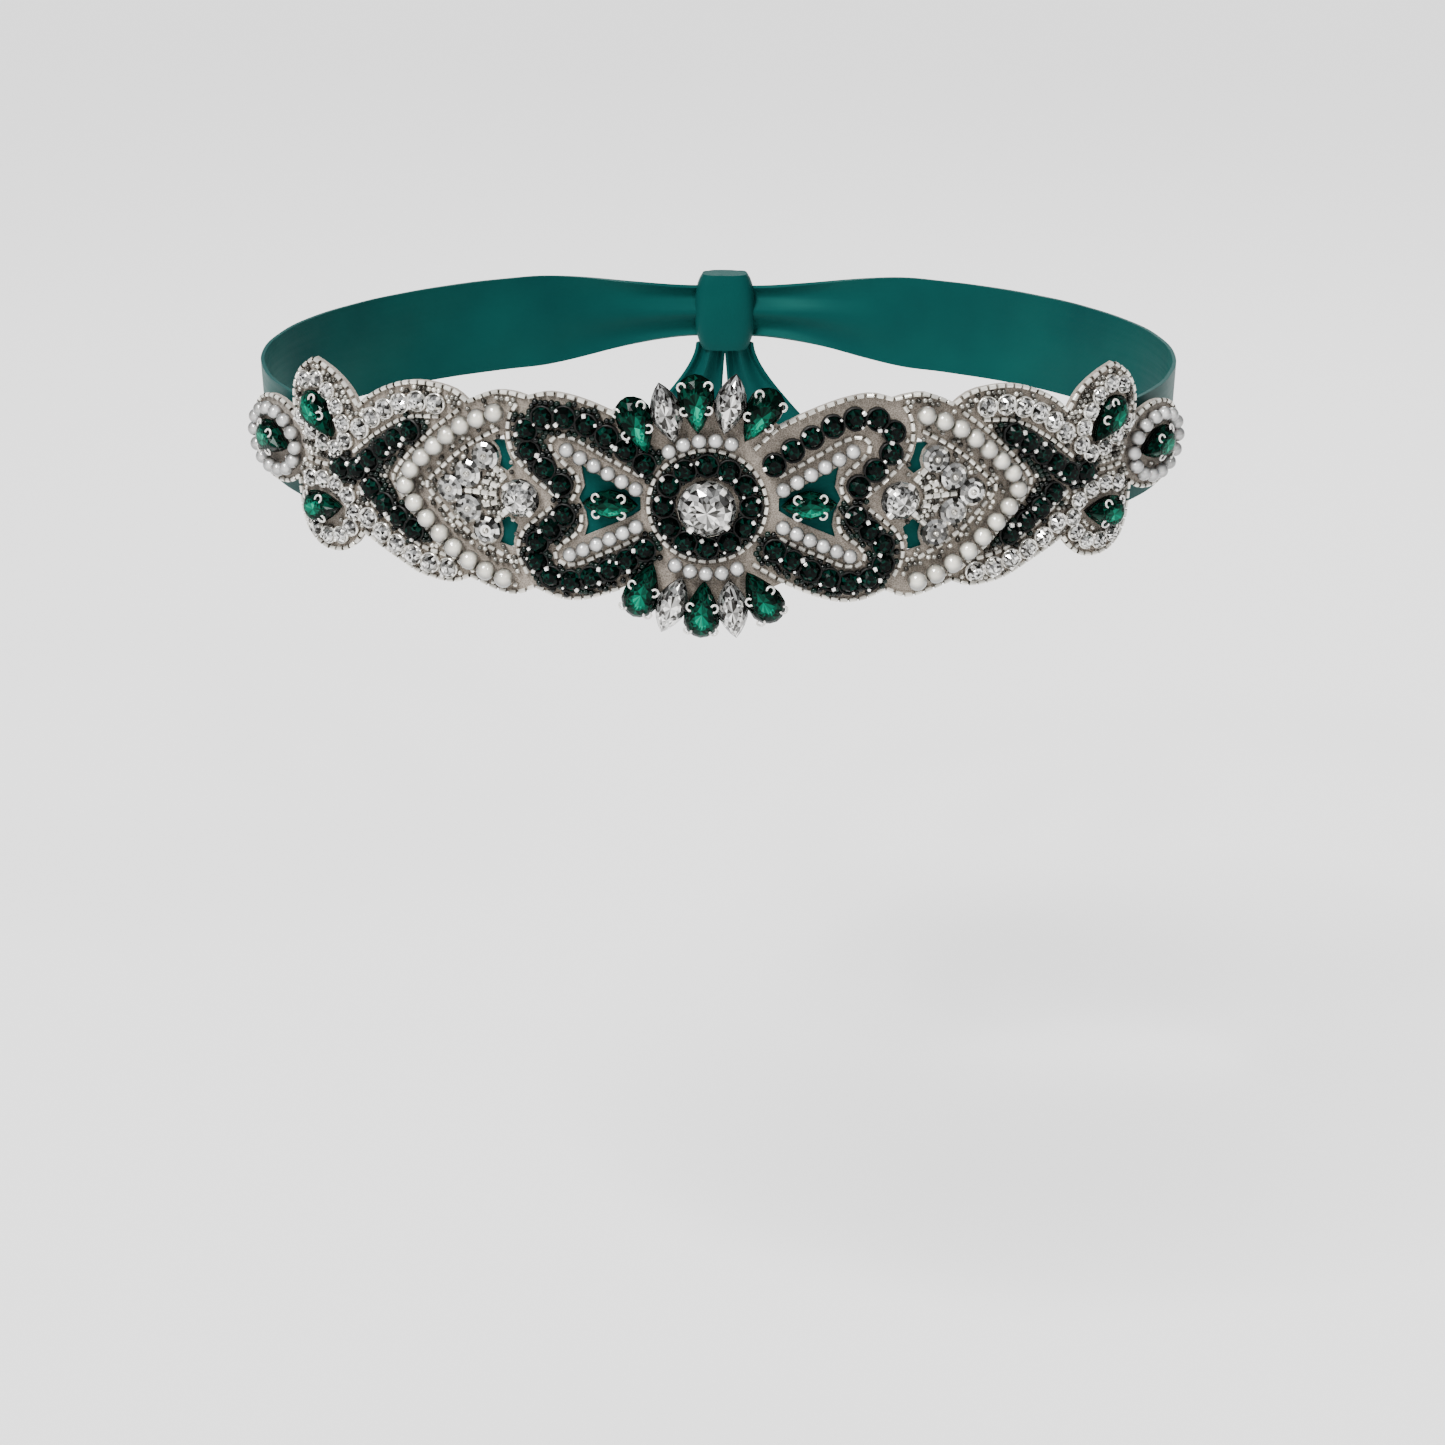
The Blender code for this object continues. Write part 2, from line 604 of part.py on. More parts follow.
def edge_lines(side):
    """Routes of one side's raised lines, given as on the right."""
    lines = []
    for name, points in list(UPPER_EDGES.items()) + list(LOWER_EDGES.items()):
        path = smooth(points)
        length = path_lengths(path)[-1]
        bare = WING_LINE_STARTS[side] if name == "wing" else 0
        start, end = (bare, length) if points[0][1] > 0 else (0, length - bare)
        lines.append(spaced(path, max(2, round((end - start) / EDGE_STEP) + 1), start, end))
    lines += [stepped(smooth(points), EDGE_STEP) for points in INNER_LINES.values()]
    flower = (FLOWER_ALONG, FLOWER_UP)
    lines.append(ellipse(flower, FLOWER_EDGE_HALF_SIZES, FLOWER_TOP_TURN, FLOWER_BOTTOM_TURN, EDGE_STEP))
    return lines


def bead_lines():
    """Routes of every raised bead line on the whole cloth."""
    right = edge_lines(1) + [stepped(smooth(points), EDGE_STEP) for points in ROOT_LINES]
    left = [mirrored(path) for path in edge_lines(-1)]
    medallion = ellipse(MEDALLION_CENTRE, (MEDALLION_RADIUS, MEDALLION_RADIUS), 0, 360, EDGE_STEP)
    return right + left + [medallion]


def near_segment(point, a, b):
    """Distance of a point from a straight stretch."""
    ahead = b - a
    share = min(max((point - a).dot(ahead) / ahead.length_squared, 0), 1)
    return (point - a - ahead * share).length


def segments_of(paths):
    return [(a, b) for path in paths for a, b in zip(path, path[1:])]


def distance_to(point, segments, reach):
    """Distance from a point to the nearest of some straight stretches, up to a reach."""
    nearest = reach
    for a, b in segments:
        if min(a.x, b.x) - nearest < point.x < max(a.x, b.x) + nearest:
            nearest = min(nearest, near_segment(point, a, b))
    return nearest


def inside(point, polygon):
    """Whether a point lies in a polygon, by crossings of a line to its right."""
    crossed = False
    for a, b in zip(polygon, polygon[1:] + polygon[:1]):
        if (a.y > point.y) != (b.y > point.y):
            if point.x < a.x + (point.y - a.y) / (b.y - a.y) * (b.x - a.x):
                crossed = not crossed
    return crossed


def in_cloth(point, outline, holes):
    return inside(point, outline) and not any(inside(point, hole) for hole in holes)


def triangulated(points, edges, outline, holes):
    """Points and anticlockwise triangles of the cloth's plan, and the new place of each given point."""
    found, _, faces, sources, _, _ = delaunay_2d_cdt(points, edges, [], 0, WELD)
    middles = [sum((found[i] for i in face), Vector((0, 0))) / 3 for face in faces]
    kept = [tuple(face) for face, middle in zip(faces, middles) if in_cloth(middle, outline, holes)]
    return found, kept, {given: i for i, group in enumerate(sources) for given in group}


def joined_paths(loops, paths):
    """Points of closed loops and of open paths in one list, and the edges between them."""
    points, edges = [], []
    for path, closed in [(loop, True) for loop in loops] + [(path, False) for path in paths]:
        first = len(points)
        points += path
        edges += [(first + i, first + i + 1) for i in range(len(path) - 1)]
        if closed:
            edges.append((first + len(path) - 1, first))
    return points, edges


def cloth_grid(outline, holes, segments):
    """Points inside the cloth, clear of its edges and bead lines, so that it follows the waist."""
    reach = max(p.x for p in outline)
    columns = int(reach / CLOTH_GRID)
    rows = int(FAN_CLOTH_RADIUS / CLOTH_GRID)
    grid = []
    for i in range(-columns, columns + 1):
        for j in range(-rows, rows + 1):
            point = Vector((i * CLOTH_GRID, (j + (i % 2) * 0.5) * CLOTH_GRID))
            clear = distance_to(point, segments, GRID_CLEARANCE) >= GRID_CLEARANCE
            if clear and in_cloth(point, outline, holes):
                grid.append(point)
    return grid


def loop_segments(loops):
    return segments_of([loop + loop[:1] for loop in loops])


def boundary_of(faces):
    """Edges of one face only, in that face's direction."""
    sides = {(face[i], face[(i + 1) % 3]) for face in faces for i in range(3)}
    return [(a, b) for a, b in sides if (b, a) not in sides]


def line_foot(path):
    """Outline of the foot of a raised line, closed round its two ends."""
    start = path[0] + (path[0] - path[1]).normalized() * BEAD_LINE_HALF_WIDTH
    end = path[-1] + (path[-1] - path[-2]).normalized() * BEAD_LINE_HALF_WIDTH
    left = offset(path, BEAD_LINE_HALF_WIDTH)
    right = offset(path, -BEAD_LINE_HALF_WIDTH)
    return left + [end] + right[::-1] + [start, left[0]]


def raised(point, segments):
    """Height of the cloth's outer face, with the bead lines standing on it."""
    distance = distance_to(point, segments, BEAD_LINE_HALF_WIDTH)
    return CLOTH_OUTER + BEAD_LINE_HEIGHT * (1 - distance / BEAD_LINE_HALF_WIDTH)


def add_applique_base():
    """The cut cloth: its outer face carries the bead lines, its inner face is plain."""
    outline = cloth_outline()
    half_holes = [[Vector(p) for p in points] for points in CUTOUTS.values()]
    holes = half_holes + [mirrored(hole) for hole in half_holes]
    lines = bead_lines()
    feet = [line_foot(path) for path in lines]
    crests = segments_of(lines)
    rims = loop_segments([outline] + holes)
    grid = cloth_grid(outline, holes, rims + crests)
    points, edges = joined_paths([outline] + holes, lines + feet)
    outer, outer_faces, _ = triangulated(points + grid, edges, outline, holes)

    border = boundary_of(outer_faces)
    border_points = sorted({a for a, _ in border})
    place_in_border = {index: i for i, index in enumerate(border_points)}
    plain_grid = [p for p in grid if distance_to(p, rims, GRID_CLEARANCE) >= GRID_CLEARANCE]
    plain = [outer[i] for i in border_points] + plain_grid
    plain_edges = [(place_in_border[a], place_in_border[b]) for a, b in border]
    inner, inner_faces, inner_of = triangulated(plain, plain_edges, outline, holes)

    first = len(outer)
    points = [sewn_place(p.x, p.y, raised(p, crests)) for p in outer]
    points += [sewn_place(p.x, p.y, CLOTH_INNER) for p in inner]
    faces = outer_faces + [tuple(first + i for i in reversed(face)) for face in inner_faces]
    for a, b in border:
        low_a, low_b = (first + inner_of[place_in_border[i]] for i in (a, b))
        faces += [(b, a, low_a), (b, low_a, low_b)]
    used = sorted({i for face in faces for i in face})
    renumbered = {index: i for i, index in enumerate(used)}
    faces = [tuple(renumbered[i] for i in face) for face in faces]
    add_object("applique_base", [points[i] for i in used], faces, "cream_cloth")


# Strings of pearls and small stones


def strung_ring(centre, ahead, kind, share=1.0):
    """Section of a strung piece: a hexagon for a pearl, a tapered block for a stone in its cup."""
    across = Vector((-ahead.y, ahead.x))
    half = kind.size / 2 * share
    if kind.is_pearl:
        middle = kind.height / 2
        turns = [2 * math.pi * (i + 0.5) / PEARL_SIDES for i in range(PEARL_SIDES)]
        profile = [(half * math.cos(a), middle + middle * share * math.sin(a)) for a in turns]
    else:
        height = kind.height * (LINK_HEIGHT_SHARE + (1 - LINK_HEIGHT_SHARE) * share)
        seat, table = half * CUP_SEAT_SHARE, half * CUP_TABLE_SHARE
        profile = [(seat, 0), (table, height), (-table, height), (-seat, 0)]
    return [sewn_place(centre.x + across.x * a, centre.y + across.y * a, SEWN_LEVEL + h) for a, h in profile]


def add_string(name, kind_name, centres, closed=False):
    """One body of pieces strung on a line, narrow between each two."""
    kind = KINDS[kind_name]
    count = len(centres)
    rings = []
    for i, centre in enumerate(centres):
        before = centres[i - 1] if i or closed else centre * 2 - centres[1]
        after = centres[(i + 1) % count] if i + 1 < count or closed else centre * 2 - centres[i - 1]
        ahead = (after - before).normalized()
        if not closed and not i:
            rings.append(strung_ring(centre - ahead * kind.size / 2, ahead, kind, kind.link))
        for shift in kind.rings:
            rings.append(strung_ring(centre + ahead * kind.size * shift, ahead, kind))
        if closed or i + 1 < count:
            onward = (after - centre).normalized()
            rings.append(strung_ring((centre + after) / 2, onward, kind, kind.link))
        else:
            rings.append(strung_ring(centre + ahead * kind.size / 2, ahead, kind, kind.link))
    add_loft(name, rings, kind.finish, closed)


def add_strings():
    for name, (kind_name, count, points) in STRINGS.items():
        centres = spaced(smooth(points), count)
        add_string(name + "_right", kind_name, centres)
        add_string(name + "_left", kind_name, mirrored(centres))


def turned(radius, turn):
    """A place round the medallion, by degrees clockwise from up."""
    return Vector((radius * math.sin(math.radians(turn)), radius * math.cos(math.radians(turn))))


def add_rings_and_arcs():
    """The dark ring of the medallion, the pearl arcs by it, and the pearl ovals of the end flowers."""
    turns = [360 * i / MEDALLION_RING_COUNT for i in range(MEDALLION_RING_COUNT)]
    ring = [turned(MEDALLION_RING_RADIUS, a) + Vector(MEDALLION_CENTRE) for a in turns]
    add_string("medallion_ring", "dark_stone", ring, True)
    spread = [ARC_SPACING * (i - (ARC_COUNT - 1) / 2) for i in range(ARC_COUNT)]
    top_arc = [turned(ARC_RADIUS, TOP_ARC_TURN + a) for a in spread]
    bottom_arc = [turned(ARC_RADIUS, 180 - BOTTOM_ARC_TURN - a) for a in spread]
    add_string("pearls_arc_top", "small_pearl", top_arc)
    add_string("pearls_arc_bottom", "small_pearl", bottom_arc)
    oval = ellipse((FLOWER_ALONG, FLOWER_UP), FLOWER_RING_HALF_SIZES, 0, 360, 1)
    oval = spaced(oval, FLOWER_PEARLS + 1)[:-1]
    add_string("pearls_flower_right", "small_pearl", oval, True)
    add_string("pearls_flower_left", "small_pearl", mirrored(oval), True)


# Large stones


def stone_outline(stone, share):
    """(across, lengthwise) round a stone at a share of its size, its head towards +lengthwise."""
    half_width, half_length = stone.width / 2 * share, stone.length / 2 * share
    right = [(x * half_width, y * half_length) for x, y in OUTLINES[stone.outline]]
    return right + [(-x, y) for x, y in reversed(right[1:-1])]


def add_stone(name, kind, along, up, lean, level):
    """A cut stone in its setting, on the flat that touches the applique's ground under its middle."""
    stone = STONES[kind]
    point, ahead, out = sewn_frame(along)
    angle = math.radians(lean)
    rings = []
    for height_share, size_share in STONE_LEVELS:
        ring = []
        for across, lengthwise in stone_outline(stone, size_share):
            right = across * math.cos(angle) + lengthwise * math.sin(angle)
            above = lengthwise * math.cos(angle) - across * math.sin(angle)
            spot = point + ahead * right + out * (level + stone.height * height_share)
            ring.append((spot + Vector((0, 0, up + above))) * MM)
        rings.append(ring)
    add_loft(name, rings, stone.finish)


def add_stones():
    add_stone("stone_centre", "centre", *MEDALLION_CENTRE, 0, SEWN_LEVEL)
    for name, stones in FANS.items():
        for i, (kind, along, up, lean) in enumerate(stones):
            add_stone(f"{name}_{i + 1}", kind, along, up, lean, SEWN_LEVEL)
    for name, single in SINGLE_STONES.items():
        add_stone(name + "_right", *single)
        add_stone(name + "_left", single.kind, -single.along, single.up, -single.lean, single.level)


def clear_scene():
    for old in list(bpy.data.objects):
        bpy.data.objects.remove(old, do_unlink=True)


def main():
    clear_scene()
    add_ribbon_band()
    add_knot()
    add_tail("ribbon_tail_right", 1)
    add_tail("ribbon_tail_left", -1)
    add_applique_base()
    add_rings_and_arcs()
    add_strings()
    add_stones()


main()
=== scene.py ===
"""Looks of the bridal sash: satin ribbon, net applique, bugle-bead lines, pearls and cut stones.

Tables are in millimetres. A sewn piece is placed by its length along the waist from the centre front
(towards +X), its height above the ribbon's centre line, and its level out from the ribbon's face."""

import bisect
import collections
import contextlib
import itertools
import math
import random

import bmesh
import bpy
import numpy as np
from mathutils import Matrix, Vector
from mathutils.geometry import delaunay_2d_cdt


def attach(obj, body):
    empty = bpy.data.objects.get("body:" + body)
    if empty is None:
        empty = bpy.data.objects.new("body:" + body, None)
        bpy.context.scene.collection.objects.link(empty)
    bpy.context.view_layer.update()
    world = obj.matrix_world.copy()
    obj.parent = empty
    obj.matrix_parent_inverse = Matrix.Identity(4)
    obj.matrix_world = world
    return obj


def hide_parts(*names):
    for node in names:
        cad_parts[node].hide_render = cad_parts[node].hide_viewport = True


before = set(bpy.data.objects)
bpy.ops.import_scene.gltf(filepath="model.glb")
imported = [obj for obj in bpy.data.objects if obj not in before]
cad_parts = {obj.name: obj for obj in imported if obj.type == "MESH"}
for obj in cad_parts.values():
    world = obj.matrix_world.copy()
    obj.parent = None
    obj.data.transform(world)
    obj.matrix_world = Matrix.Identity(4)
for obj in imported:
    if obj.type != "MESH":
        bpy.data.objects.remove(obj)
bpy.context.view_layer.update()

MM = 0.001
UP = Vector((0, 0, 1))

# Waist and ribbon
WAIST_HALF_WIDTH = 112.0
WAIST_HALF_DEPTH = 82.0
RIBBON_WIDTH = 25.0
RIBBON_THICKNESS = 0.9
RIBBON_COLUMNS = 14
BAND_SINK = 0.12
SEAM_GAP = 0.3
KNOT_WIDTH = 16.0
KNOT_HEIGHT = 21.0
KNOT_DEPTH = 9.0
KNOT_INNER_FACE = -0.9
KNOT_TUCK = 1.5
KNOT_SECTIONS = 15
KNOT_RING = 48
GATHER_LENGTH = 48.0
GATHERED_WIDTH = 13.0
GATHER_LIFT = 3.0
FOLD_DEPTH = 1.5
FREE_START = 122.0
FREE_REACH = 30.0
RIPPLE = 0.35
COCKLE = 0.1
# How fast the ripple and the two cockles turn, in radians by millimetre along and by share across
RIPPLE_TURN = (0.11, 2.4)
COCKLE_TURNS = ((0.31, 0.0), (0.083, 3.0))
TAIL_LENGTH = 64.0
TAIL_TOP_WIDTH = 6.4
TAIL_TOP_CENTRE = 3.8
TAIL_SPREAD = 22.0
TAIL_END_SLANT = 7.0
TAIL_OPEN_AT = 0.53
TAIL_SPREAD_AT = 0.87
TAIL_LEVEL = 2.6
TAIL_BELLY = 1.2
TAIL_WAVE = 0.6

# Applique cloth
CLOTH_INNER = 0.4
CLOTH_OUTER = 1.5
EDGE_MARGIN = 0.3
NOTCH_MARGIN = 0.2
EDGE_STEP = 2.1
CLOTH_GRID = 3.4
CLOTH_REACH = (128.0, 26.0)
NET_SINK = 0.1
NET_PUCKER = 0.08
FAN_CLOTH_RADIUS = 24.0
FAN_CLOTH_ANGLE = 34.0

# Bugle beads
BUGLE_LENGTH = 1.9
BUGLE_PITCH = 2.3
BUGLE_RADIUS = 0.52
# Tones of its faces, by how near to its end they lie: the ends are painted dark, as painted shade of the
# bead's hole and of the gaps between beads
BUGLE_SHADE_TONES = ((0.5, 0.82), (0.99, 0.2), (math.inf, 0.02))
# Rows of bugle beads from the lozenge's stone to its discs
STALK_SIZE = (1.95, 0.65)
STALK_START = 5.0
STALK_END = 2.9
STALK_PITCH = 2.05
STALK_LEVEL = 0.6

# Seed beads that fill the cloth between the other pieces, and the room that those pieces take
SEED_SIZE = 1.25
SEED_PITCH = 1.3
SEED_ROW_SHARE = 0.87
SEED_JITTER = 0.12
SEED_ROOM = 0.42
# Jet seed beads beside the dark stones also stand in for the shade that the stones' cups throw on the cloth
JET_SIZE = 1.5
JET_ROOM = 0.2
JET_SHADE_REACH = 4.3
SILVER_START = 44.0
# Shares of a large stone's outline that take room, from its edge to its middle
STONE_FILL = (1.0, 0.65, 0.3, 0.0)
STONE_ROOM = 0.7
HOLE_ROOM = 0.3

# Jet beads in the gaps between dark stones, which also stand in for the shade between their cups, and how
# finely round beads are modelled
GAP_BEAD = 1.7
GAP_BEAD_REACH = 1.9
GAP_BEAD_ROOM = 0.85
RING_BEAD = 1.2
BEAD_DETAIL = (10, 7)
SEED_DETAIL = (8, 5)
DRILLED_END = 0.82

# Pieces that are sewn in strings, and the sizes of a cup's four prongs, by variant
Strung = collections.namedtuple("Strung", "size height room slot")
STRUNG = {
    "white_pearl": Strung(3.6, 3.6, 1.8, "pearl"),
    "ivory_pearl": Strung(4.6, 4.6, 2.3, "pearl"),
    "dark_stone": Strung(5.5, 3.4, 2.7, "dark_glass"),
    "clear_stone": Strung(4.9, 3.3, 2.4, "clear_glass"),
    "leaf_stone": Strung(4.3, 2.9, 2.1, "clear_glass"),
    "disc": Strung(6.6, 2.4, 3.3, "clear_glass"),
}
PRONGS = {
    "dark_stone": ((0.95, 0, 0, 0.6), (0.5, 0.85, 0, 0), (0, 0, 0.65, 0.9), (0, 0.75, 0, 0)),
    "clear_stone": ((0.7, 0.5, 0.7, 0.5),),
    "leaf_stone": ((0.6, 0.4, 0.6, 0.4),),
}
STONE_TWIST = 24.0
# Rings of a disc: their widths and their rises
DISC_RINGS = ((0.1, 0.22), (0.09, -0.16), (0.09, 0.12))
DISC_BEAD = 1.5

# Medallion, fans and end flowers
MEDALLION_RADIUS = 13.1
MEDALLION_RING_RADIUS = 9.7
MEDALLION_RING_COUNT = 12
MEDALLION_SEEDS = ((12.0, 15), (12.2, 9), (12.2, 21), (7.6, 15))
ARC_RADIUS = 15.7
ARC_COUNT = 5
ARC_SPACING = 13.0
TOP_ARC_TURN = -8.0
BOTTOM_ARC_TURN = -3.0
MEDALLION_CENTRE = (-0.5, 0.0)
FLOWER = (114.5, 1.5)
FLOWER_RING_HALF_SIZES = (9.0, 7.2)
FLOWER_EDGE_HALF_SIZES = (11.9, 10.1)
FLOWER_PEARLS = 14
FLOWER_TURNS = (136.0, -138.0)
FLOWER_NOTCH_TURN = 12.0

# Cloth edge of the right half, clockwise from the centre top: (along, up)
UPPER_EDGES = {
    "wing": ((15.3, 18.2), (21, 20.8), (26, 22.8), (31, 24.2), (36, 24.7), (41, 23.4)),
    "lozenge": ((41, 23.4), (44.3, 24.0), (48.2, 24.0), (51.8, 22.7), (55.3, 20.9)),
    "fishtail": (
        (55.3, 20.9), (59, 23.1), (64.5, 23.9), (70.5, 23.5), (76.5, 21.4), (81.5, 18.6), (85.6, 15.2),
    ),
    "leaf_inner": ((85.6, 15.2), (88.8, 19.4), (93.4, 22.4), (98.8, 24.4)),
    "leaf_outer": ((98.8, 24.4), (103.2, 21.2), (105.8, 17), (106.4, 12.8), (106.0, 9.0)),
}
LOWER_EDGES = {
    "leaf": (
        (105.8, -5.6), (105.4, -10), (104.8, -14.4), (102.6, -18.4),
        (98.6, -20.9), (93.4, -21), (88.8, -18.8), (85.4, -14.8),
    ),
    "fishtail": (
        (85.4, -14.8), (80, -17.3), (75, -19.4), (70, -21.5), (64.8, -22.4), (60, -22.3), (56, -20.6),
    ),
    "lozenge": ((56, -20.6), (52.4, -21.8), (48.6, -22.9), (44.5, -23.2), (39.8, -21.2)),
    "wing": ((39.8, -21.2), (35, -23), (30, -23.3), (25, -22), (20.5, -20.2), (14.9, -17.3)),
}
# Length of a wing's edge that has no beads, because a fan stone lies over it, by side of the waist
WING_LINE_STARTS = {1: 0.0, -1: 6.0}

# The stiff ends of the applique stand off the ribbon, from one length along it to another
STAND_OFF = 3.2
STAND_OFF_START = 74.0
STAND_OFF_END = 132.0
FRAME_STEP = 0.5

# Bead lines inside the right half: (along, up)
INNER_LINES = {
    "wing_side_upper": (
        (43.2, 22.0), (45.2, 18.6), (45.6, 14.6), (44.7, 10.6), (41.8, 6.8), (38.2, 3.6), (34.6, 0.9),
    ),
    "wing_side_lower": (
        (41.6, -18.6), (43.4, -15.0), (43.7, -11.4), (42.0, -7.6), (38.6, -4.4), (35.4, -1.6),
    ),
    "wing_eye_upper": (
        (15.2, 6.6), (20, 9.2), (25, 11.9), (29.4, 14.3), (33.2, 15.1),
        (35.8, 13.4), (34.6, 10.6), (31.8, 8), (29.7, 5.6), (29.4, 3.2), (31.2, 0),
    ),
    "wing_eye_lower": (
        (15.4, -7.6), (20, -10.1), (25, -12.6), (29.2, -14.7), (33, -15.2),
        (35, -13), (33.4, -10.4), (30.6, -8.2), (28.8, -5.6), (29, -2.8),
    ),
    "lozenge_outer": (
        (57.2, 19.1), (60.6, 16.4), (64.4, 13.3), (67.9, 9.9), (71.3, 6.4), (74.2, 3), (75.8, 0),
        (74.2, -3), (71.3, -6.4), (67.9, -9.9), (64.4, -13.3), (60.6, -16.2), (57.4, -18.6),
    ),
    "lozenge_inner": (
        (47.6, 15.7), (52, 13.1), (56, 10.4), (59.4, 7.6), (62.6, 4.4), (66.4, 0),
        (62.6, -4.4), (59.4, -7.6), (56, -10.1), (52, -12.4), (47.2, -14.7),
    ),
    "fishtail_upper": (
        (62.4, 16.6), (65.4, 16.2), (69.0, 15.7), (73.6, 14), (78, 11.4), (82.4, 8.3), (87.6, 3.9),
    ),
    "fishtail_lower": (
        (61.6, -16.6), (65, -16.1), (68.5, -15.4), (73.6, -13.0), (78.2, -10.2), (82.6, -7.1), (86.6, -3.8),
    ),
    "between_leaves": ((95.2, -0.6), (98.6, -0.8), (102.6, -0.2)),
}
# Bead lines of the right half only, from the medallion to the wing: (along, up)
ROOT_LINES = (
    ((9.6, 12.9), (12.4, 15.6), (15.3, 18.2)),
    ((9.4, -13.7), (12.0, -15.4), (14.9, -17.3)),
)

# Openings in the cloth of the right half: (along, up)
CUTOUTS = (
    (
        (15.4, 1.5), (17.4, 2.5), (22.2, 5.0), (28.9, 8.5), (28.5, 6.2), (28.1, 3.6), (29.5, 0.6),
        (27.9, -2.6), (27.5, -5.4), (28.3, -8.3), (22.2, -5.4), (17.4, -3.0), (15.4, -1.5),
    ),
    (
        (46.9, 13.9), (49.6, 12.3), (48.3, 10.8), (47.7, 8.6),
        (48.2, 6.5), (46.4, 5.4), (44.7, 7.0), (46.1, 10.4),
    ),
    (
        (45.0, -12.9), (48.6, -11.9), (47.9, -10.2), (47.7, -8.6),
        (48.2, -6.5), (46.2, -5.2), (43.9, -7.0), (45.1, -11.0),
    ),
)

# Strings of sewn pieces on the right half: kind, count, and the route of their centres
STRINGS = {
    "pearls_wing_upper": ("white_pearl", 6, ((16.2, 4.0), (23.9, 8.2), (31.6, 12.3))),
    "pearls_wing_lower": ("white_pearl", 6, ((16.2, -4.9), (23.8, -8.9), (31.2, -12.4))),
    "pearls_lozenge": (
        "ivory_pearl", 15,
        (
            (48, 19.6), (52.3, 17.8), (56.4, 15.6), (59.9, 12.9), (63.2, 10), (66.6, 6.8), (69.6, 3.5),
            (71.2, 0), (69.6, -3.5), (66.6, -6.8), (63.2, -10), (59.9, -12.9), (56.1, -15.6),
            (51.8, -17.9), (46.8, -19.4),
        ),
    ),
    "chain_wing_upper": (
        "dark_stone", 10,
        (
            (14.3, 9.7), (18.9, 13.3), (24.4, 16.8), (30, 19.2), (35.6, 19.7),
            (40.3, 17.4), (41.3, 12.8), (38.6, 8.9), (35.6, 6.2), (33.2, 3.8),
        ),
    ),
    "chain_wing_lower": (
        "dark_stone", 10,
        (
            (14.5, -10.4), (19.6, -13.9), (24.8, -16.9), (30, -18.8), (35, -18.8),
            (38.6, -15.9), (39.5, -11.8), (37.2, -7.9), (34.3, -5.5), (32.7, -3.3),
        ),
    ),
    "chain_dark_upper": (
        "dark_stone", 6,
        ((70.3, 12.3), (74.5, 9.6), (78.5, 6.6), (82.2, 3.4), (86.2, 0.4), (91, -0.2)),
    ),
    "chain_dark_lower": ("dark_stone", 4, ((70.1, -11.5), (74.4, -9.0), (78.3, -6.5), (81.9, -3.6))),
    "chain_clear_upper": (
        "clear_stone", 6,
        ((63.2, 19.7), (67.9, 19.6), (72.6, 18.4), (77, 16.4), (81, 13.7), (84.6, 10.4)),
    ),
    "chain_clear_lower": (
        "clear_stone", 6,
        ((61.4, -19.4), (66.2, -18.9), (71, -17.6), (75.4, -15.9), (79.6, -13.7), (83.2, -11)),
    ),
    "chain_leaf_upper": (
        "leaf_stone", 10,
        (
            (103.4, 9.4), (100.2, 7), (96.9, 5.1), (93.2, 3.9), (89.9, 5.6), (89.7, 9.2),
            (91, 12.5), (92.8, 15.6), (95.2, 18.3), (98.5, 20), (101.7, 18.9),
        ),
    ),
    "chain_leaf_lower": (
        "leaf_stone", 9,
        (
            (101.2, -4.9), (97, -4.3), (92.9, -4.9), (89.3, -7.2), (87.9, -11),
            (89.2, -14.9), (92.4, -17.2), (96.4, -17.9), (100.2, -16.9),
        ),
    ),
    "discs": ("disc", 5, ((51.2, 8.8), (55.4, 4.3), (60.2, 0), (55.4, -4.3), (51.2, -8.8))),
}
# The string of dark stones that stand apart on bare cloth
BARE_CHAIN = ("chain_wing_upper", "right")

# Large stones. Claws are places round the outline, in degrees clockwise from the head. The painted highlight
# is a bright patch painted on a green stone for the light inside it: its place across and lengthwise and its
# two spreads, as shares of half sizes
Stone = collections.namedtuple("Stone", "outline length width height glass claws streak")
STONES = {
    "centre": Stone("round", 13.4, 13.4, 6.4, "cut_crystal", (40, 130, 220, 310), None),
    "pear": Stone("pear", 13.8, 8.4, 4.8, "cut_emerald", (35, 115, 245, 325), (0.1, -0.25, 0.34, 0.55)),
    "low_pear": Stone("pear", 13.8, 8.4, 4.8, "cut_emerald", (35, 115, 245, 325), (0.0, 0.3, 0.36, 0.4)),
    "navette": Stone("navette", 14.2, 7.4, 4.8, "cut_crystal", (), None),
    "wing_navette": Stone(
        "navette", 12.8, 6.8, 4.6, "cut_emerald", (35, 145, 215, 325), (0.35, 0.1, 0.36, 0.7),
    ),
    "lozenge_round": Stone("round", 9.2, 9.2, 5.2, "cut_crystal", (30, 135, 225, 315), None),
    "end_pear": Stone("pear", 12.8, 8.0, 4.8, "cut_emerald", (50, 120, 240, 310), (0.1, 0.2, 0.4, 0.5)),
}
OUTLINES = {
    "round": ((0, 1), (0.5, 0.866), (0.866, 0.5), (1, 0), (0.866, -0.5), (0.5, -0.866), (0, -1)),
    "pear": ((0, 1), (0.6, 0.87), (0.97, 0.5), (0.94, 0.06), (0.6, -0.42), (0.26, -0.8), (0, -1)),
    "navette": ((0, 1), (0.36, 0.8), (0.79, 0.42), (1, 0), (0.79, -0.42), (0.36, -0.8), (0, -1)),
}
# Steps of a large stone upwards: shares of its height, and sizes as shares of the step below
STONE_STEPS = ((0.2, 1.0), (0.24, 0.86), (0.22, 0.74))
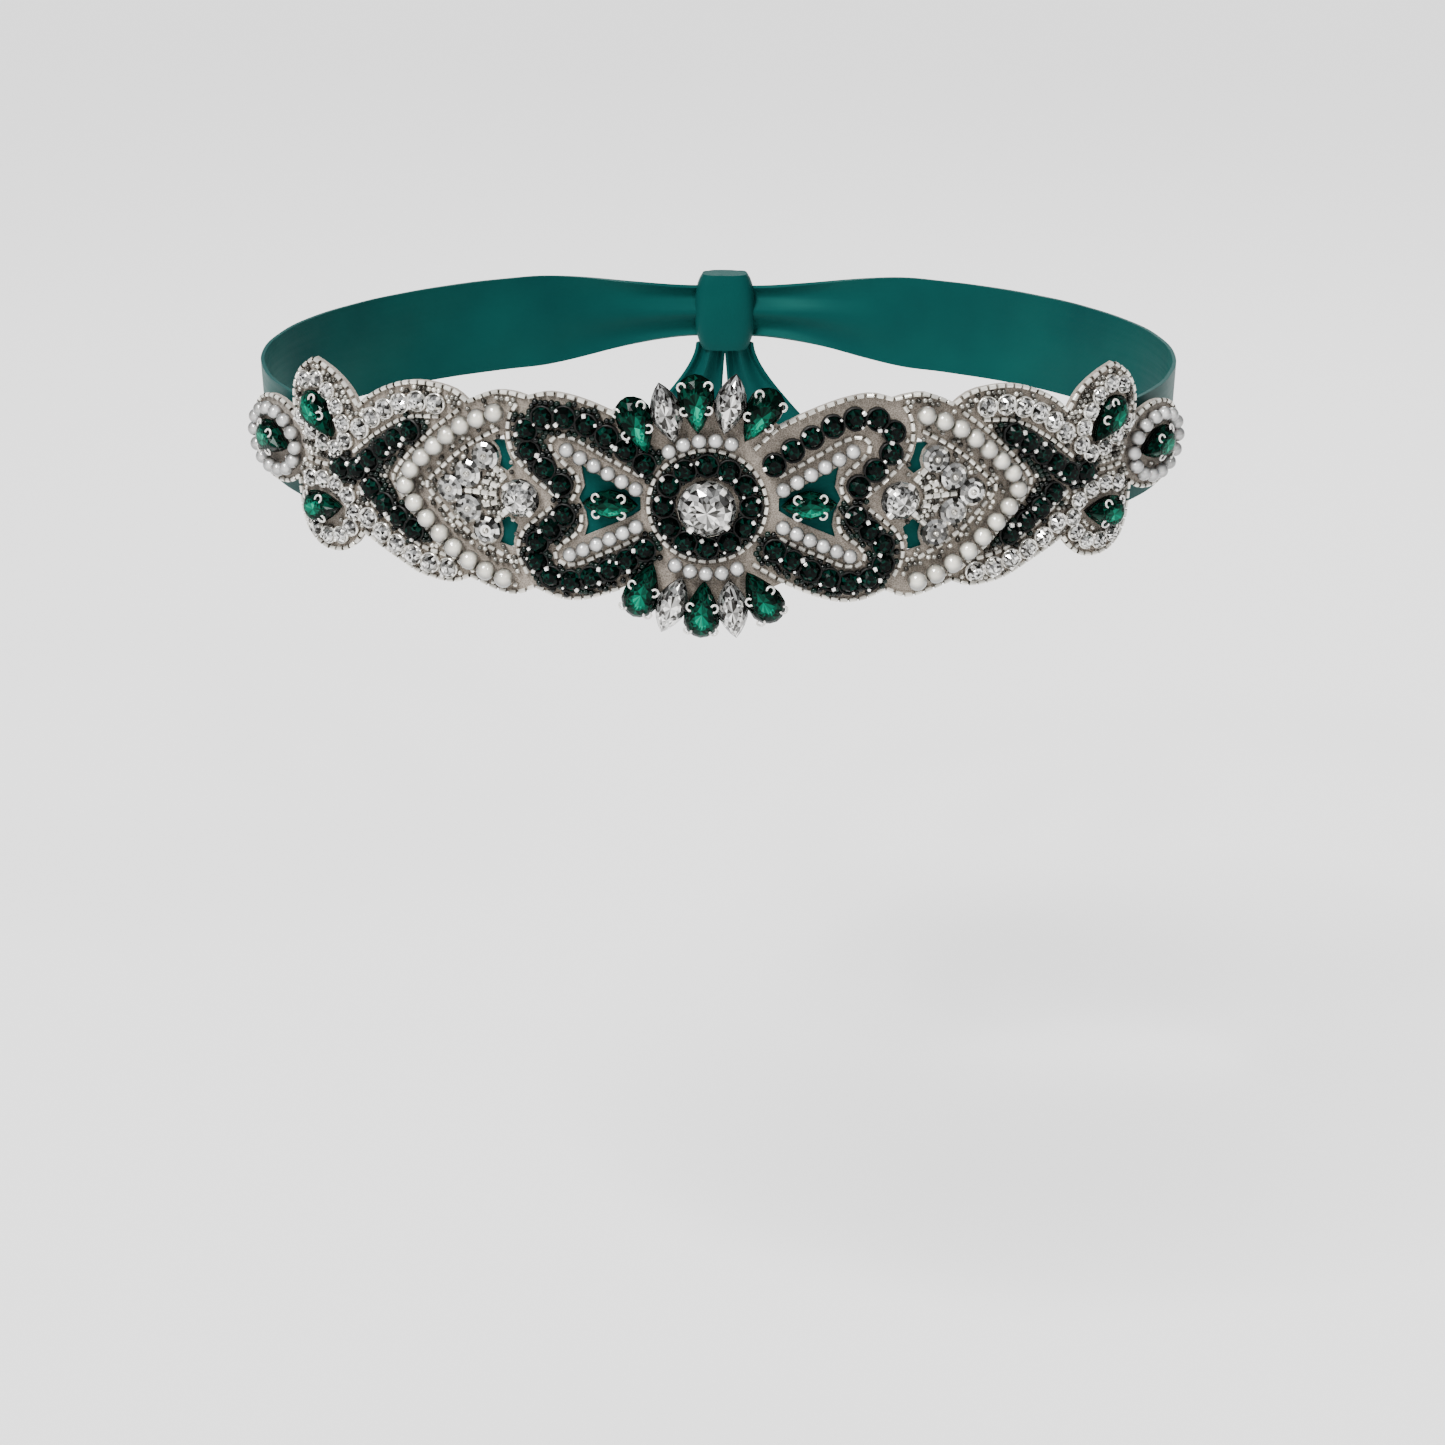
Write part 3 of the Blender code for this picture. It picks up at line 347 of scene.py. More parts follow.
# Tone of a green stone's painted highlight, and of the painted reflections scattered over its facets
PAINTED_HIGHLIGHT_TONE = 0.62
SCATTER_TONE = 0.45
CLAW_LOOP = 0.88
CLAW_WIRE = 0.27
CLAW_SLOPE = -22.0
PLATE_SIZE = 1.35
# Fan stones by the side of the medallion that they stand on: kind, along, up, and the lean of the head in
# degrees clockwise from up
FANS = {
    "stone_fan_top": (
        ("pear", -15.8, 18.9, -20), ("navette", -9.3, 22.0, -14), ("pear", -2.8, 24.1, -3),
        ("navette", 4.6, 24.1, 11), ("pear", 11.1, 21.4, 30),
    ),
    "stone_fan_bottom": (
        ("low_pear", -14.8, -19.9, -160), ("navette", -8.4, -23.2, -160), ("low_pear", -1.6, -24.2, -176),
        ("navette", 5.1, -24.0, 173), ("low_pear", 11.6, -21.3, 150),
    ),
}
Single = collections.namedtuple("Single", "kind along up lean level")
SINGLE_STONES = {
    "stone_wing": Single("wing_navette", 22.2, -0.2, 90, CLOTH_INNER),
    "stone_lozenge": Single("lozenge_round", 42.6, 0, 0, CLOTH_OUTER),
    "stone_leaf_upper": Single("end_pear", 97, 11.5, 45, CLOTH_OUTER),
    "stone_leaf_lower": Single("end_pear", 97, -11, 100, CLOTH_OUTER),
    "stone_flower": Single("end_pear", FLOWER[0], FLOWER[1], 82, CLOTH_OUTER),
}

# Camera at the photograph's angle, floor and lights
CAMERA_PLACE = (0.0170, -0.7506, 0.2224)
CAMERA_TILT = 67.6
CAMERA_TURN = 1.21
CAMERA_LENS = 77.9
CAMERA_SENSOR = 36.0
FLOOR_LEVEL = -0.26
FLOOR_SIZE = 14.0
# Lights: kind, name, place, size and energy
LIGHTS = (
    ("SUN", "key_light", (-0.45, -0.55, 1.0), 22, 6.2),
    ("AREA", "left_glint", (-0.5, -0.9, 0.75), 0.09, 4.5),
    ("AREA", "right_glint", (0.55, -0.9, 0.6), 0.07, 3.0),
    ("AREA", "back_light", (0.1, 0.9, 0.8), 0.6, 8),
)

# Threads of the satin, and how uneven the gloss of glass and metal is
THREAD_PITCH = 0.34
GLOSS_SPREAD = 0.6
# Finishes: dark and bright colour, contrast, roughness and fixed values. The cut glass ones carry painted
# reflections: their faces go from dark to bright, for the sparkle of facets
TONED_FINISHES = {
    "silver": ((0.30, 0.28, 0.24), (0.95, 0.93, 0.88), 1.0, 0.14, {"Metallic": 0.8}),
    "claw_silver": ((0.55, 0.53, 0.49), (0.98, 0.97, 0.95), 1.0, 0.16, {"Metallic": 0.4}),
    "dark_metal": ((0.002, 0.002, 0.002), (0.012, 0.012, 0.011), 1.0, 0.35, {"Specular_IOR_Level": 0.2}),
    # lined_bugle: its dark colour is the painted shade at each bead's ends
    "lined_bugle": ((0.03, 0.024, 0.014), (0.86, 0.83, 0.75), 1.0, 0.14, {"Metallic": 0.5}),
    "silver_seed": ((0.02, 0.018, 0.014), (0.85, 0.82, 0.74), 2.0, 0.1, {"Metallic": 0.6}),
    "jet_bead": ((0.0005, 0.001, 0.0008), (0.002, 0.012, 0.008), 2.0, 0.12, {"Specular_IOR_Level": 0.25}),
    # Painted reflections: on the cut glass below, each face is dark or bright in no order, for the sparkle of
    # facets
    "cut_jet_green": (
        (0.0002, 0.0006, 0.0005), (0.0005, 0.024, 0.016), 5.0, 0.08, {"Specular_IOR_Level": 0.06},
    ),
    "cut_emerald": (
        (0.0001, 0.0015, 0.001), (0.0008, 0.29, 0.17), 3.2, 0.07, {"Specular_IOR_Level": 0.05},
    ),
    "cut_crystal": ((0.012, 0.011, 0.009), (1.0, 0.99, 0.96), 1.7, 0.05, {"Metallic": 0.85}),
}

# Fineness of the waist's table, of curves and of the cloth's mesh
TABLE_STEPS = 1440
TABLE_HALF_TURN = 1.15 * math.pi
CURVE_STEPS = 12
FINE_STEP = 0.5
WELD = 1e-4


# Places on the waist


def waist_table():
    """Waist length against turn, from a little past the centre back on one side to the other."""
    turns = np.linspace(-TABLE_HALF_TURN, TABLE_HALF_TURN, TABLE_STEPS + 1)
    middles = (turns[1:] + turns[:-1]) / 2
    rates = np.hypot(WAIST_HALF_WIDTH * np.cos(middles), WAIST_HALF_DEPTH * np.sin(middles))
    lengths = np.concatenate([[0.0], np.cumsum(rates * np.diff(turns))])
    return turns, lengths - lengths[-1] / 2


TURNS, LENGTHS = waist_table()
# Length from the centre front to the centre back
HALF_WAIST = float(np.interp(math.pi, TURNS, LENGTHS))


def waist_frame(along):
    """Point on the ribbon's outer face and direction out, with no unit."""
    turn = float(np.interp(along, LENGTHS, TURNS))
    point = Vector((WAIST_HALF_WIDTH * math.sin(turn), -WAIST_HALF_DEPTH * math.cos(turn), 0))
    out = Vector((math.sin(turn) / WAIST_HALF_WIDTH, -math.cos(turn) / WAIST_HALF_DEPTH, 0)).normalized()
    return point, out


def place(along, up, out):
    """A point in metres from its three measures on the waist."""
    point, outward = waist_frame(along)
    return (point + outward * out + UP * up) * MM


def stand_off(along):
    """How far the applique's stiff ends stand off the ribbon."""
    return STAND_OFF * eased((abs(along) - STAND_OFF_START) / (STAND_OFF_END - STAND_OFF_START))


def sewn_frame(along):
    """Point on the applique's ground, direction along it, and direction out, with no unit."""
    points = []
    for shift in (-FRAME_STEP, 0, FRAME_STEP):
        point, out = waist_frame(along + shift)
        points.append(point + out * stand_off(along + shift))
    ahead = (points[2] - points[0]).normalized()
    return points[1], ahead, Vector((ahead.y, -ahead.x, 0))


def sewn_place(along, up, out):
    """A point in metres on the applique."""
    point, _, outward = sewn_frame(along)
    return (point + outward * out + UP * up) * MM


def sewn_spot(along, up, level, lean=0.0):
    """Place of a sewn shape: its Y leans clockwise from up by degrees, and its Z points out."""
    point, ahead, out = sewn_frame(along)
    angle = math.radians(lean)
    across = ahead * math.cos(angle) - UP * math.sin(angle)
    lengthwise = ahead * math.sin(angle) + UP * math.cos(angle)
    turned_axes = Matrix((across, lengthwise, out)).transposed().to_4x4()
    return Matrix.Translation((point + out * level + UP * up) * MM) @ turned_axes


def smooth(points):
    """Fine points on a smooth curve through the given ones."""
    points = [Vector(p) for p in points]
    line = [points[0] * 2 - points[1], *points, points[-1] * 2 - points[-2]]
    found = []
    for a, b, c, d in zip(line, line[1:], line[2:], line[3:]):
        for step in range(CURVE_STEPS):
            t = step / CURVE_STEPS
            bent = (c - a) * t + (2 * a - 5 * b + 4 * c - d) * t**2 + (3 * b - a - 3 * c + d) * t**3
            found.append(b + bent / 2)
    return found + [points[-1]]


def path_lengths(path):
    lengths = [0.0]
    for a, b in zip(path, path[1:]):
        lengths.append(lengths[-1] + (b - a).length)
    return lengths


def at_length(path, lengths, length):
    i = min(max(bisect.bisect(lengths, length), 1), len(path) - 1)
    share = (length - lengths[i - 1]) / (lengths[i] - lengths[i - 1])
    return path[i - 1].lerp(path[i], share)


def spaced(path, count, start=0.0, end=None):
    """This many points, evenly spaced along a path from one length to another."""
    lengths = path_lengths(path)
    end = lengths[-1] if end is None else end
    return [at_length(path, lengths, start + (end - start) * i / (count - 1)) for i in range(count)]


def ellipse(centre, half_sizes, first, last, step):
    """Points on an ellipse between two turns in degrees, anticlockwise from +along."""
    length = math.radians(abs(last - first)) * (half_sizes[0] + half_sizes[1]) / 2
    count = max(3, round(length / step) + 1)
    turns = [math.radians(first + (last - first) * i / (count - 1)) for i in range(count)]
    offsets = [Vector((half_sizes[0] * math.cos(a), half_sizes[1] * math.sin(a))) for a in turns]
    return [Vector(centre) + shift for shift in offsets]


def mirrored(points):
    return [Vector((-p[0], p[1])) for p in points]


def turned(radius, turn):
    """A place round the medallion, by degrees clockwise from up."""
    return Vector((radius * math.sin(math.radians(turn)), radius * math.cos(math.radians(turn))))


def eased(share):
    share = min(max(share, 0.0), 1.0)
    return share * share * (3 - 2 * share)


def inside(point, polygon):
    crossed = False
    for a, b in zip(polygon, polygon[1:] + polygon[:1]):
        if (a.y > point.y) != (b.y > point.y):
            if point.x < a.x + (point.y - a.y) / (b.y - a.y) * (b.x - a.x):
                crossed = not crossed
    return crossed


# Materials


def fill(tree, socket, source):
    """Gives a socket its value, or links it to the output of another node."""
    if isinstance(source, bpy.types.NodeSocket):
        tree.links.new(source, socket)
    elif socket.type == "RGBA":
        socket.default_value = (*source, 1)
    else:
        socket.default_value = source


def node(tree, kind, sockets=None, **attributes):
    """A shader node, with its attributes set and its sockets filled."""
    made = tree.nodes.new(kind)
    for name, value in attributes.items():
        setattr(made, name, value)
    for name, source in (sockets or {}).items():
        fill(tree, made.inputs[name], source)
    return made


def computed(tree, operation, *sources):
    """The result of a Math node."""
    return node(tree, "ShaderNodeMath", dict(enumerate(sources)), operation=operation).outputs[0]


def mixed(tree, share, low, high):
    """A colour between two others."""
    return node(tree, "ShaderNodeMix", {0: share, 6: low, 7: high}, data_type="RGBA").outputs[2]


def noise(tree, place_socket, scale, detail):
    sockets = {"Vector": place_socket, "Scale": scale, "Detail": detail}
    return node(tree, "ShaderNodeTexNoise", sockets).outputs["Fac"]


def grouped(tree, group, **sockets):
    """The output of a shader node group that is placed with these values."""
    return node(tree, "ShaderNodeGroup", sockets, node_tree=group).outputs[0]


def new_group(name, inputs, output):
    """A shader node group with named sockets: its tree, its inputs, and its one output."""
    tree = bpy.data.node_groups.new(name, "ShaderNodeTree")
    for label, kind, value in inputs:
        tree.interface.new_socket(label, in_out="INPUT", socket_type=kind).default_value = value
    tree.interface.new_socket(output[0], in_out="OUTPUT", socket_type=output[1])
    start, end = tree.nodes.new("NodeGroupInput"), tree.nodes.new("NodeGroupOutput")
    return tree, start.outputs, end.inputs[0]


def toned_colour_group():
    """Colour of a face, between a dark and a bright one by the piece's tone attribute."""
    tree, given, result = new_group(
        "toned_colour",
        (
            ("Dark", "NodeSocketColor", (0, 0, 0, 1)),
            ("Bright", "NodeSocketColor", (1, 1, 1, 1)),
            ("Contrast", "NodeSocketFloat", 1.0),
        ),
        ("Colour", "NodeSocketColor"),
    )
    tone = node(tree, "ShaderNodeAttribute", attribute_name="tone").outputs["Fac"]
    share = computed(tree, "POWER", tone, given["Contrast"])
    fill(tree, result, mixed(tree, share, given["Dark"], given["Bright"]))
    return tree


def handled_surface_group():
    """Roughness with the faint unevenness of handled metal and glass."""
    tree, given, result = new_group(
        "handled_surface",
        (
            ("Roughness", "NodeSocketFloat", 0.2),
            ("Spread", "NodeSocketFloat", 0.1),
            ("Scale", "NodeSocketFloat", 400.0),
        ),
        ("Roughness", "NodeSocketFloat"),
    )
    on_piece = node(tree, "ShaderNodeTexCoord").outputs["Object"]
    unevenness = noise(tree, on_piece, given["Scale"], 3.0)
    fill(tree, result, computed(tree, "MULTIPLY_ADD", unevenness, given["Spread"], given["Roughness"]))
    return tree


TONED_COLOUR = toned_colour_group()
HANDLED_SURFACE = handled_surface_group()


def new_material(name, **sockets):
    """A Principled material with fixed values: the material, its tree and its shader's sockets."""
    made = bpy.data.materials.new(name)
    made.use_nodes = True
    shader = made.node_tree.nodes["Principled BSDF"]
    for label, value in sockets.items():
        shader.inputs[label.replace("_", " ")].default_value = value
    return made, made.node_tree, shader.inputs


def toned_material(name, dark, bright, contrast, roughness, fixed):
    """A material whose faces go from a dark colour to a bright one, with slightly uneven gloss."""
    made, tree, surface = new_material(name, **fixed)
    colour = grouped(tree, TONED_COLOUR, Dark=dark, Bright=bright, Contrast=contrast)
    gloss = grouped(tree, HANDLED_SURFACE, Roughness=roughness, Spread=roughness * GLOSS_SPREAD)
    fill(tree, surface["Base Color"], colour)
    fill(tree, surface["Roughness"], gloss)
    return made


def satin_material():
    """Emerald satin: fine lengthwise threads and soft streaks of shine."""
    made, tree, surface = new_material(
        "emerald_satin", Sheen_Weight=0.02, Sheen_Roughness=0.35, Sheen_Tint=(0.1, 0.8, 0.62, 1),
        Specular_IOR_Level=0.11, Specular_Tint=(0.2, 1.0, 0.8, 1),
    )
    on_cloth = node(tree, "ShaderNodeUVMap", uv_map="cloth").outputs["UV"]
    stretched = node(tree, "ShaderNodeMapping", {"Vector": on_cloth, "Scale": (30, 900, 1)}).outputs["Vector"]
    streaks = noise(tree, stretched, 1.0, 4.0)
    across = node(tree, "ShaderNodeSeparateXYZ", {"Vector": on_cloth}).outputs["Y"]
    threads = computed(tree, "SINE", computed(tree, "MULTIPLY", across, 2 * math.pi / (THREAD_PITCH * MM)))
    height = computed(tree, "MULTIPLY_ADD", threads, 0.25, streaks)
    bump = node(tree, "ShaderNodeBump", {"Strength": 0.25, "Distance": 0.00012, "Height": height})
    depth = noise(tree, on_cloth, 38.0, 2.0)
    fill(tree, surface["Base Color"], mixed(tree, depth, (0.0006, 0.021, 0.023), (0.0010, 0.048, 0.042)))
    fill(tree, surface["Roughness"], computed(tree, "MULTIPLY_ADD", streaks, 0.2, 0.38))
    fill(tree, surface["Normal"], bump.outputs["Normal"])
    return made


def net_material():
    """Cream net: small meshes with darker holes, and faint toning."""
    made, tree, surface = new_material("cream_net", Sheen_Weight=0.2, Roughness=0.75)
    on_piece = node(tree, "ShaderNodeTexCoord").outputs["Object"]
    mesh = node(
        tree, "ShaderNodeTexVoronoi", {"Vector": on_piece, "Scale": 1900.0}, feature="DISTANCE_TO_EDGE",
    )
    holes = node(tree, "ShaderNodeMapRange", {"Value": mesh.outputs["Distance"], "From Max": 0.16}).outputs[0]
    toning = noise(tree, on_piece, 120.0, 3.0)
    warm = mixed(tree, toning, (0.37, 0.322, 0.275), (0.25, 0.212, 0.172))
    bump = node(tree, "ShaderNodeBump", {"Strength": 0.5, "Distance": 0.0002, "Height": holes}, invert=True)
    fill(tree, surface["Base Color"], mixed(tree, holes, warm, (0.15, 0.124, 0.096)))
    fill(tree, surface["Normal"], bump.outputs["Normal"])
    return made


def pearl_material(name, dark, bright):
    """Glazed pearl: a pale body under a clear coat, with painted shade that darkens it towards its edge."""
    made, tree, surface = new_material(
        name, Coat_Weight=1.0, Coat_Roughness=0.08, Coat_IOR=2.1, Specular_IOR_Level=0.3,
        Subsurface_Weight=0.04, Subsurface_Scale=0.0006,
    )
    body = grouped(tree, TONED_COLOUR, Dark=dark, Bright=bright)
    facing = node(tree, "ShaderNodeLayerWeight", {"Blend": 0.5}).outputs["Facing"]
    # Painted shade: the colour goes to near black where the surface turns away from the view
    rim_shade = computed(tree, "POWER", computed(tree, "SUBTRACT", 1.0, facing), 3.2)
    fill(tree, surface["Base Color"], mixed(tree, rim_shade, (0.035, 0.033, 0.029), body))
    fill(tree, surface["Roughness"], grouped(tree, HANDLED_SURFACE, Roughness=0.24))
    return made


MATERIALS = {
    "emerald_satin": satin_material(),
    "cream_net": net_material(),
    "white_pearl": pearl_material("white_pearl", (0.42, 0.415, 0.40), (0.70, 0.69, 0.675)),
    "ivory_pearl": pearl_material("ivory_pearl", (0.66, 0.62, 0.52), (0.90, 0.86, 0.74)),
}
MATERIALS.update((name, toned_material(name, *finish)) for name, finish in TONED_FINISHES.items())


# Shapes that are modelled once and copied


Shape = collections.namedtuple("Shape", "points faces materials smooth tones wander")


def begin(add, **settings):
    """Adds one primitive at its size and place, alone in the selection."""
    bpy.ops.object.select_all(action="DESELECT")
    add(**settings)
    bpy.ops.object.transform_apply(location=True, rotation=True, scale=True)
    return bpy.context.active_object


@contextlib.contextmanager
def edited(by_edges=False):
    """Edit mode on the active piece, with all of it selected."""
    bpy.ops.object.mode_set(mode="EDIT")
    bpy.context.tool_settings.mesh_select_mode = (False, by_edges, not by_edges)
    bpy.ops.mesh.select_all(action="SELECT")
    yield
    bpy.ops.object.mode_set(mode="OBJECT")


def pick(test):
    """In edit mode, selects only the faces that pass a test."""
    bpy.ops.mesh.select_all(action="DESELECT")
    mesh = bpy.context.edit_object.data
    body = bmesh.from_edit_mesh(mesh)
    for face in body.faces:
        face.select_set(bool(test(face)))
    bmesh.update_edit_mesh(mesh)


def inset(width, rise=0.0):
    """Insets the picked faces, and lifts what stays of them."""
    bpy.ops.mesh.inset(thickness=width * MM)
    bpy.ops.transform.translate(value=(0, 0, rise * MM))


def extrude_to(rise, share):
    """Extrudes the picked top face upwards and shrinks it about the shape's middle."""
    bpy.ops.mesh.extrude_region_move(TRANSFORM_OT_translate={"value": (0, 0, rise * MM)})
    bpy.ops.transform.resize(value=(share, share, 1), center_override=(0, 0, 0))


def face_outwards():
    bpy.ops.mesh.select_all(action="SELECT")
    bpy.ops.mesh.normals_make_consistent(inside=False)


def scattered_tone(face):
    """A tone that differs from face to face in no order."""
    spread = math.sin(face.center.dot(Vector((12.9898, 78.233, 37.719))) / MM) * 43758.5453
    return spread % 1.0


def finish_shape(pieces, tone_of=scattered_tone, wander=0.0):
    """Joins the pieces of a shape and reads them off, each face with a tone.

    With no wander, the tones of each sewn copy are scattered anew. Otherwise they only shift by that much.
    """
    bpy.ops.object.select_all(action="DESELECT")
    for piece in pieces:
        piece.select_set(True)
    bpy.context.view_layer.objects.active = pieces[0]
    if len(pieces) > 1:
        bpy.ops.object.join()
    piece = pieces[0]
    mesh = piece.data
    shape = Shape(
        np.array([v.co for v in mesh.vertices]),
        [tuple(face.vertices) for face in mesh.polygons],
        [piece.material_slots[face.material_index].material.name for face in mesh.polygons],
        [face.use_smooth for face in mesh.polygons],
        [tone_of(face) for face in mesh.polygons],
        wander,
    )
    bpy.data.objects.remove(piece)
    return shape


def finished_in(piece, material, is_smooth=False):
    piece.data.materials.clear()
    piece.data.materials.append(MATERIALS[material])
    piece.data.polygons.foreach_set("use_smooth", [is_smooth] * len(piece.data.polygons))
    return piece


def bugle_shape(length, radius):
    """A cut glass tube with softened ends, painted darker as painted shade of its hole and of the gaps
    between beads, lying along X.
    """
    piece = begin(
        bpy.ops.mesh.primitive_cylinder_add, vertices=8, radius=radius * MM, depth=length * MM,
        rotation=(0, math.radians(90), 0),
    )
    with edited(by_edges=True):
        bpy.ops.mesh.select_all(action="DESELECT")
        bpy.ops.mesh.edges_select_sharp(sharpness=math.radians(60))
        bpy.ops.mesh.bevel(offset=radius * 0.3 * MM, segments=1)

    # Painted shade: faces near the bead's ends take the dark tones
    def tone_of(face):
        reach = abs(face.center.x) / (length / 2 * MM)
        return next(tone for end, tone in BUGLE_SHADE_TONES if reach < end)

    return finish_shape([finished_in(piece, "lined_bugle")], tone_of, 0.5)


def pearl_shape(size, material, segments=18, ring_count=11):
    """A round pearl or bead with its drilled ends along X."""
    piece = begin(
        bpy.ops.mesh.primitive_uv_sphere_add, segments=segments, ring_count=ring_count, radius=size / 2 * MM,
        rotation=(0, math.radians(90), 0), location=(0, 0, size / 2 * MM),
    )
    for v in piece.data.vertices:
        if abs(v.co.x) > size * 0.499 * MM:
            v.co.x *= DRILLED_END
    return finish_shape([finished_in(piece, material, True)], lambda face: 0.5, 1.0)


def prong_at(turn, radius, level, size):
    """A small square prong, bent in over the edge of a stone."""
    angle = math.radians(turn)
    spot = (math.cos(angle) * radius * MM, math.sin(angle) * radius * MM, level * MM)
    piece = begin(
        bpy.ops.mesh.primitive_cube_add, size=size * MM, location=spot, rotation=(0, 0, angle),
    )
    with edited(by_edges=True):
        bpy.ops.mesh.bevel(offset=size * 0.14 * MM, segments=1)
    return finished_in(piece, "claw_silver")


def cup_stone_shape(size, height, metal, glass, prongs):
    """A round cut stone in its cup, with the sizes of its four prongs."""
    cup_height = height * 0.5
    cup = begin(
        bpy.ops.mesh.primitive_cylinder_add, vertices=14, radius=size * 0.5 * MM,
        depth=cup_height * MM, location=(0, 0, cup_height / 2 * MM),
    )
    with edited():
        pick(lambda face: face.normal.z > 0.9)
        inset(size * 0.05, -height * 0.12)
    finished_in(cup, metal, True)
    crown = height * 0.42
    stone = begin(
        bpy.ops.mesh.primitive_cone_add, vertices=8, radius1=size * 0.45 * MM, radius2=size * 0.25 * MM,
        depth=crown * MM, location=(0, 0, (cup_height * 0.8 + crown / 2) * MM),
        rotation=(0, 0, math.radians(22.5)),
    )
    with edited():
        pick(lambda face: 0.1 < face.normal.z < 0.9)
        bpy.ops.mesh.poke(offset=size * 0.015 * MM)
        pick(lambda face: face.normal.z > 0.95)
        inset(size * 0.08)
        bpy.ops.mesh.poke(offset=size * 0.01 * MM)
    finished_in(stone, glass)
    level = cup_height * 0.8 + crown * 0.45
    metals = [prong_at(45 + 90 * i, size * 0.42, level, prong) for i, prong in enumerate(prongs) if prong]
    return finish_shape([cup, stone] + metals)


def fine_outline(stone, count=9):
    """(across, lengthwise) round a stone: a smooth curve through its table, head first, clockwise."""
    right = spaced(smooth(OUTLINES[stone.outline]), count)
    right = [(x * stone.width / 2, y * stone.length / 2) for x, y in right]
    return right + [(-x, y) for x, y in reversed(right[1:-1])]


def outline_face(outline, share, level):
    """A flat face with a stone's outline, made from a circle."""
    piece = begin(
        bpy.ops.mesh.primitive_circle_add, vertices=len(outline), radius=MM, fill_type="NGON",
    )
    for v, (x, y) in zip(piece.data.vertices, reversed(outline)):
        v.co = (x * share * MM, y * share * MM, level * MM)
    return piece


def at_turn(stone, turn):
    """Point on a stone's outline in a direction, by degrees clockwise from its head."""
    wanted = turned(1, turn)
    return max(fine_outline(stone, 33), key=lambda p: Vector(p).normalized().dot(wanted))


def claw_at(stone, turn):
    """A wire claw: a loop of wire bent over the stone's edge, open towards its middle."""
    x, y = at_turn(stone, turn)
    reach = math.hypot(x, y)
    inward = math.atan2(-y, -x)
    piece = begin(
        bpy.ops.mesh.primitive_torus_add, major_segments=14, minor_segments=6,
        major_radius=CLAW_LOOP * MM, minor_radius=CLAW_WIRE * MM,
    )
    with edited():
        pick(lambda face: face.calc_center_median().x > CLAW_LOOP * 0.55 * MM)
        bpy.ops.mesh.delete(type="FACE")
        bpy.ops.mesh.select_all(action="SELECT")
        bpy.ops.mesh.fill_holes(sides=0)
    share = (reach - CLAW_LOOP * 0.7) / reach
    spot = Vector((x * share, y * share, stone.height * 0.8)) * MM
    slope = Matrix.Rotation(math.radians(CLAW_SLOPE), 4, "Y")
    piece.data.transform(Matrix.Translation(spot) @ Matrix.Rotation(inward, 4, "Z") @ slope)
    return finished_in(piece, "claw_silver", True)


def plate_at(stone, turn):
    """A flat metal prong, bent in over the edge of a round stone."""
    return prong_at(90 - turn, stone.width * 0.43, stone.height * 0.62, PLATE_SIZE)


def large_stone_shape(stone):
    """A large cut stone in its metal seat, held by claws."""
    outline = fine_outline(stone)
    seat = outline_face(outline, 0.84, 0)
    with edited():
        extrude_to(stone.height * 0.36, 1.2)
        inset(0.22, -0.5)
        face_outwards()
    finished_in(seat, "silver" if stone.glass == "cut_crystal" else "dark_metal")
    glass = outline_face(outline, 0.98, stone.height * 0.22)
    with edited():
        for rise, share in STONE_STEPS:
            extrude_to(stone.height * rise, share)
        inset(stone.width * 0.13, stone.height * 0.05)
        bpy.ops.mesh.poke(offset=0.02 * MM)
        face_outwards()
        pick(lambda face: 0.1 < face.normal.z and len(face.verts) == 4)
        bpy.ops.mesh.poke(offset=0.05 * MM)
    finished_in(glass, stone.glass)
    hold = plate_at if stone.outline == "round" else claw_at
    claws = [hold(stone, turn) for turn in stone.claws]
    if stone.streak is None:
        return finish_shape([seat, glass] + claws)
    across, lengthwise, across_spread, lengthwise_spread = stone.streak

    # Painted highlight: faces near the patch get bright tones, over the scattered painted reflections of the
    # facets
    def tone_of(face):
        x = (face.center.x / MM / (stone.width / 2) - across) / across_spread
        y = (face.center.y / MM / (stone.length / 2) - lengthwise) / lengthwise_spread
        return min(PAINTED_HIGHLIGHT_TONE * math.exp(-x * x - y * y) + SCATTER_TONE * scattered_tone(face), 1.0)

    return finish_shape([seat, glass] + claws, tone_of, 0.12)


def disc_shape(size, height):
    """A clear sew-on disc with stepped rings, and the bead that holds it."""
    disc = begin(
        bpy.ops.mesh.primitive_cylinder_add, vertices=14, radius=size / 2 * MM,
        depth=height * 0.5 * MM, location=(0, 0, height * 0.25 * MM),
    )
    with edited():
        pick(lambda face: face.normal.z > 0.9)
        for width, rise in DISC_RINGS:
            inset(size * width, height * rise)
    finished_in(disc, "cut_crystal")
    bead = begin(
        bpy.ops.mesh.primitive_uv_sphere_add, segments=10, ring_count=6, radius=DISC_BEAD / 2 * MM,
        location=(0, 0, height * 0.72 * MM),
    )
    finished_in(bead, "lined_bugle", True)
    return finish_shape([disc, bead])


# Sewing the copies on


def added(mesh, slot, nodes):
    """An object for a mesh, tied to the body, which stands for CAD nodes. Its slot is not used."""
    piece = bpy.data.objects.new(mesh.name, mesh)
    bpy.context.scene.collection.objects.link(piece)
    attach(piece, "root")
    if nodes:
        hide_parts(*nodes)
    return piece


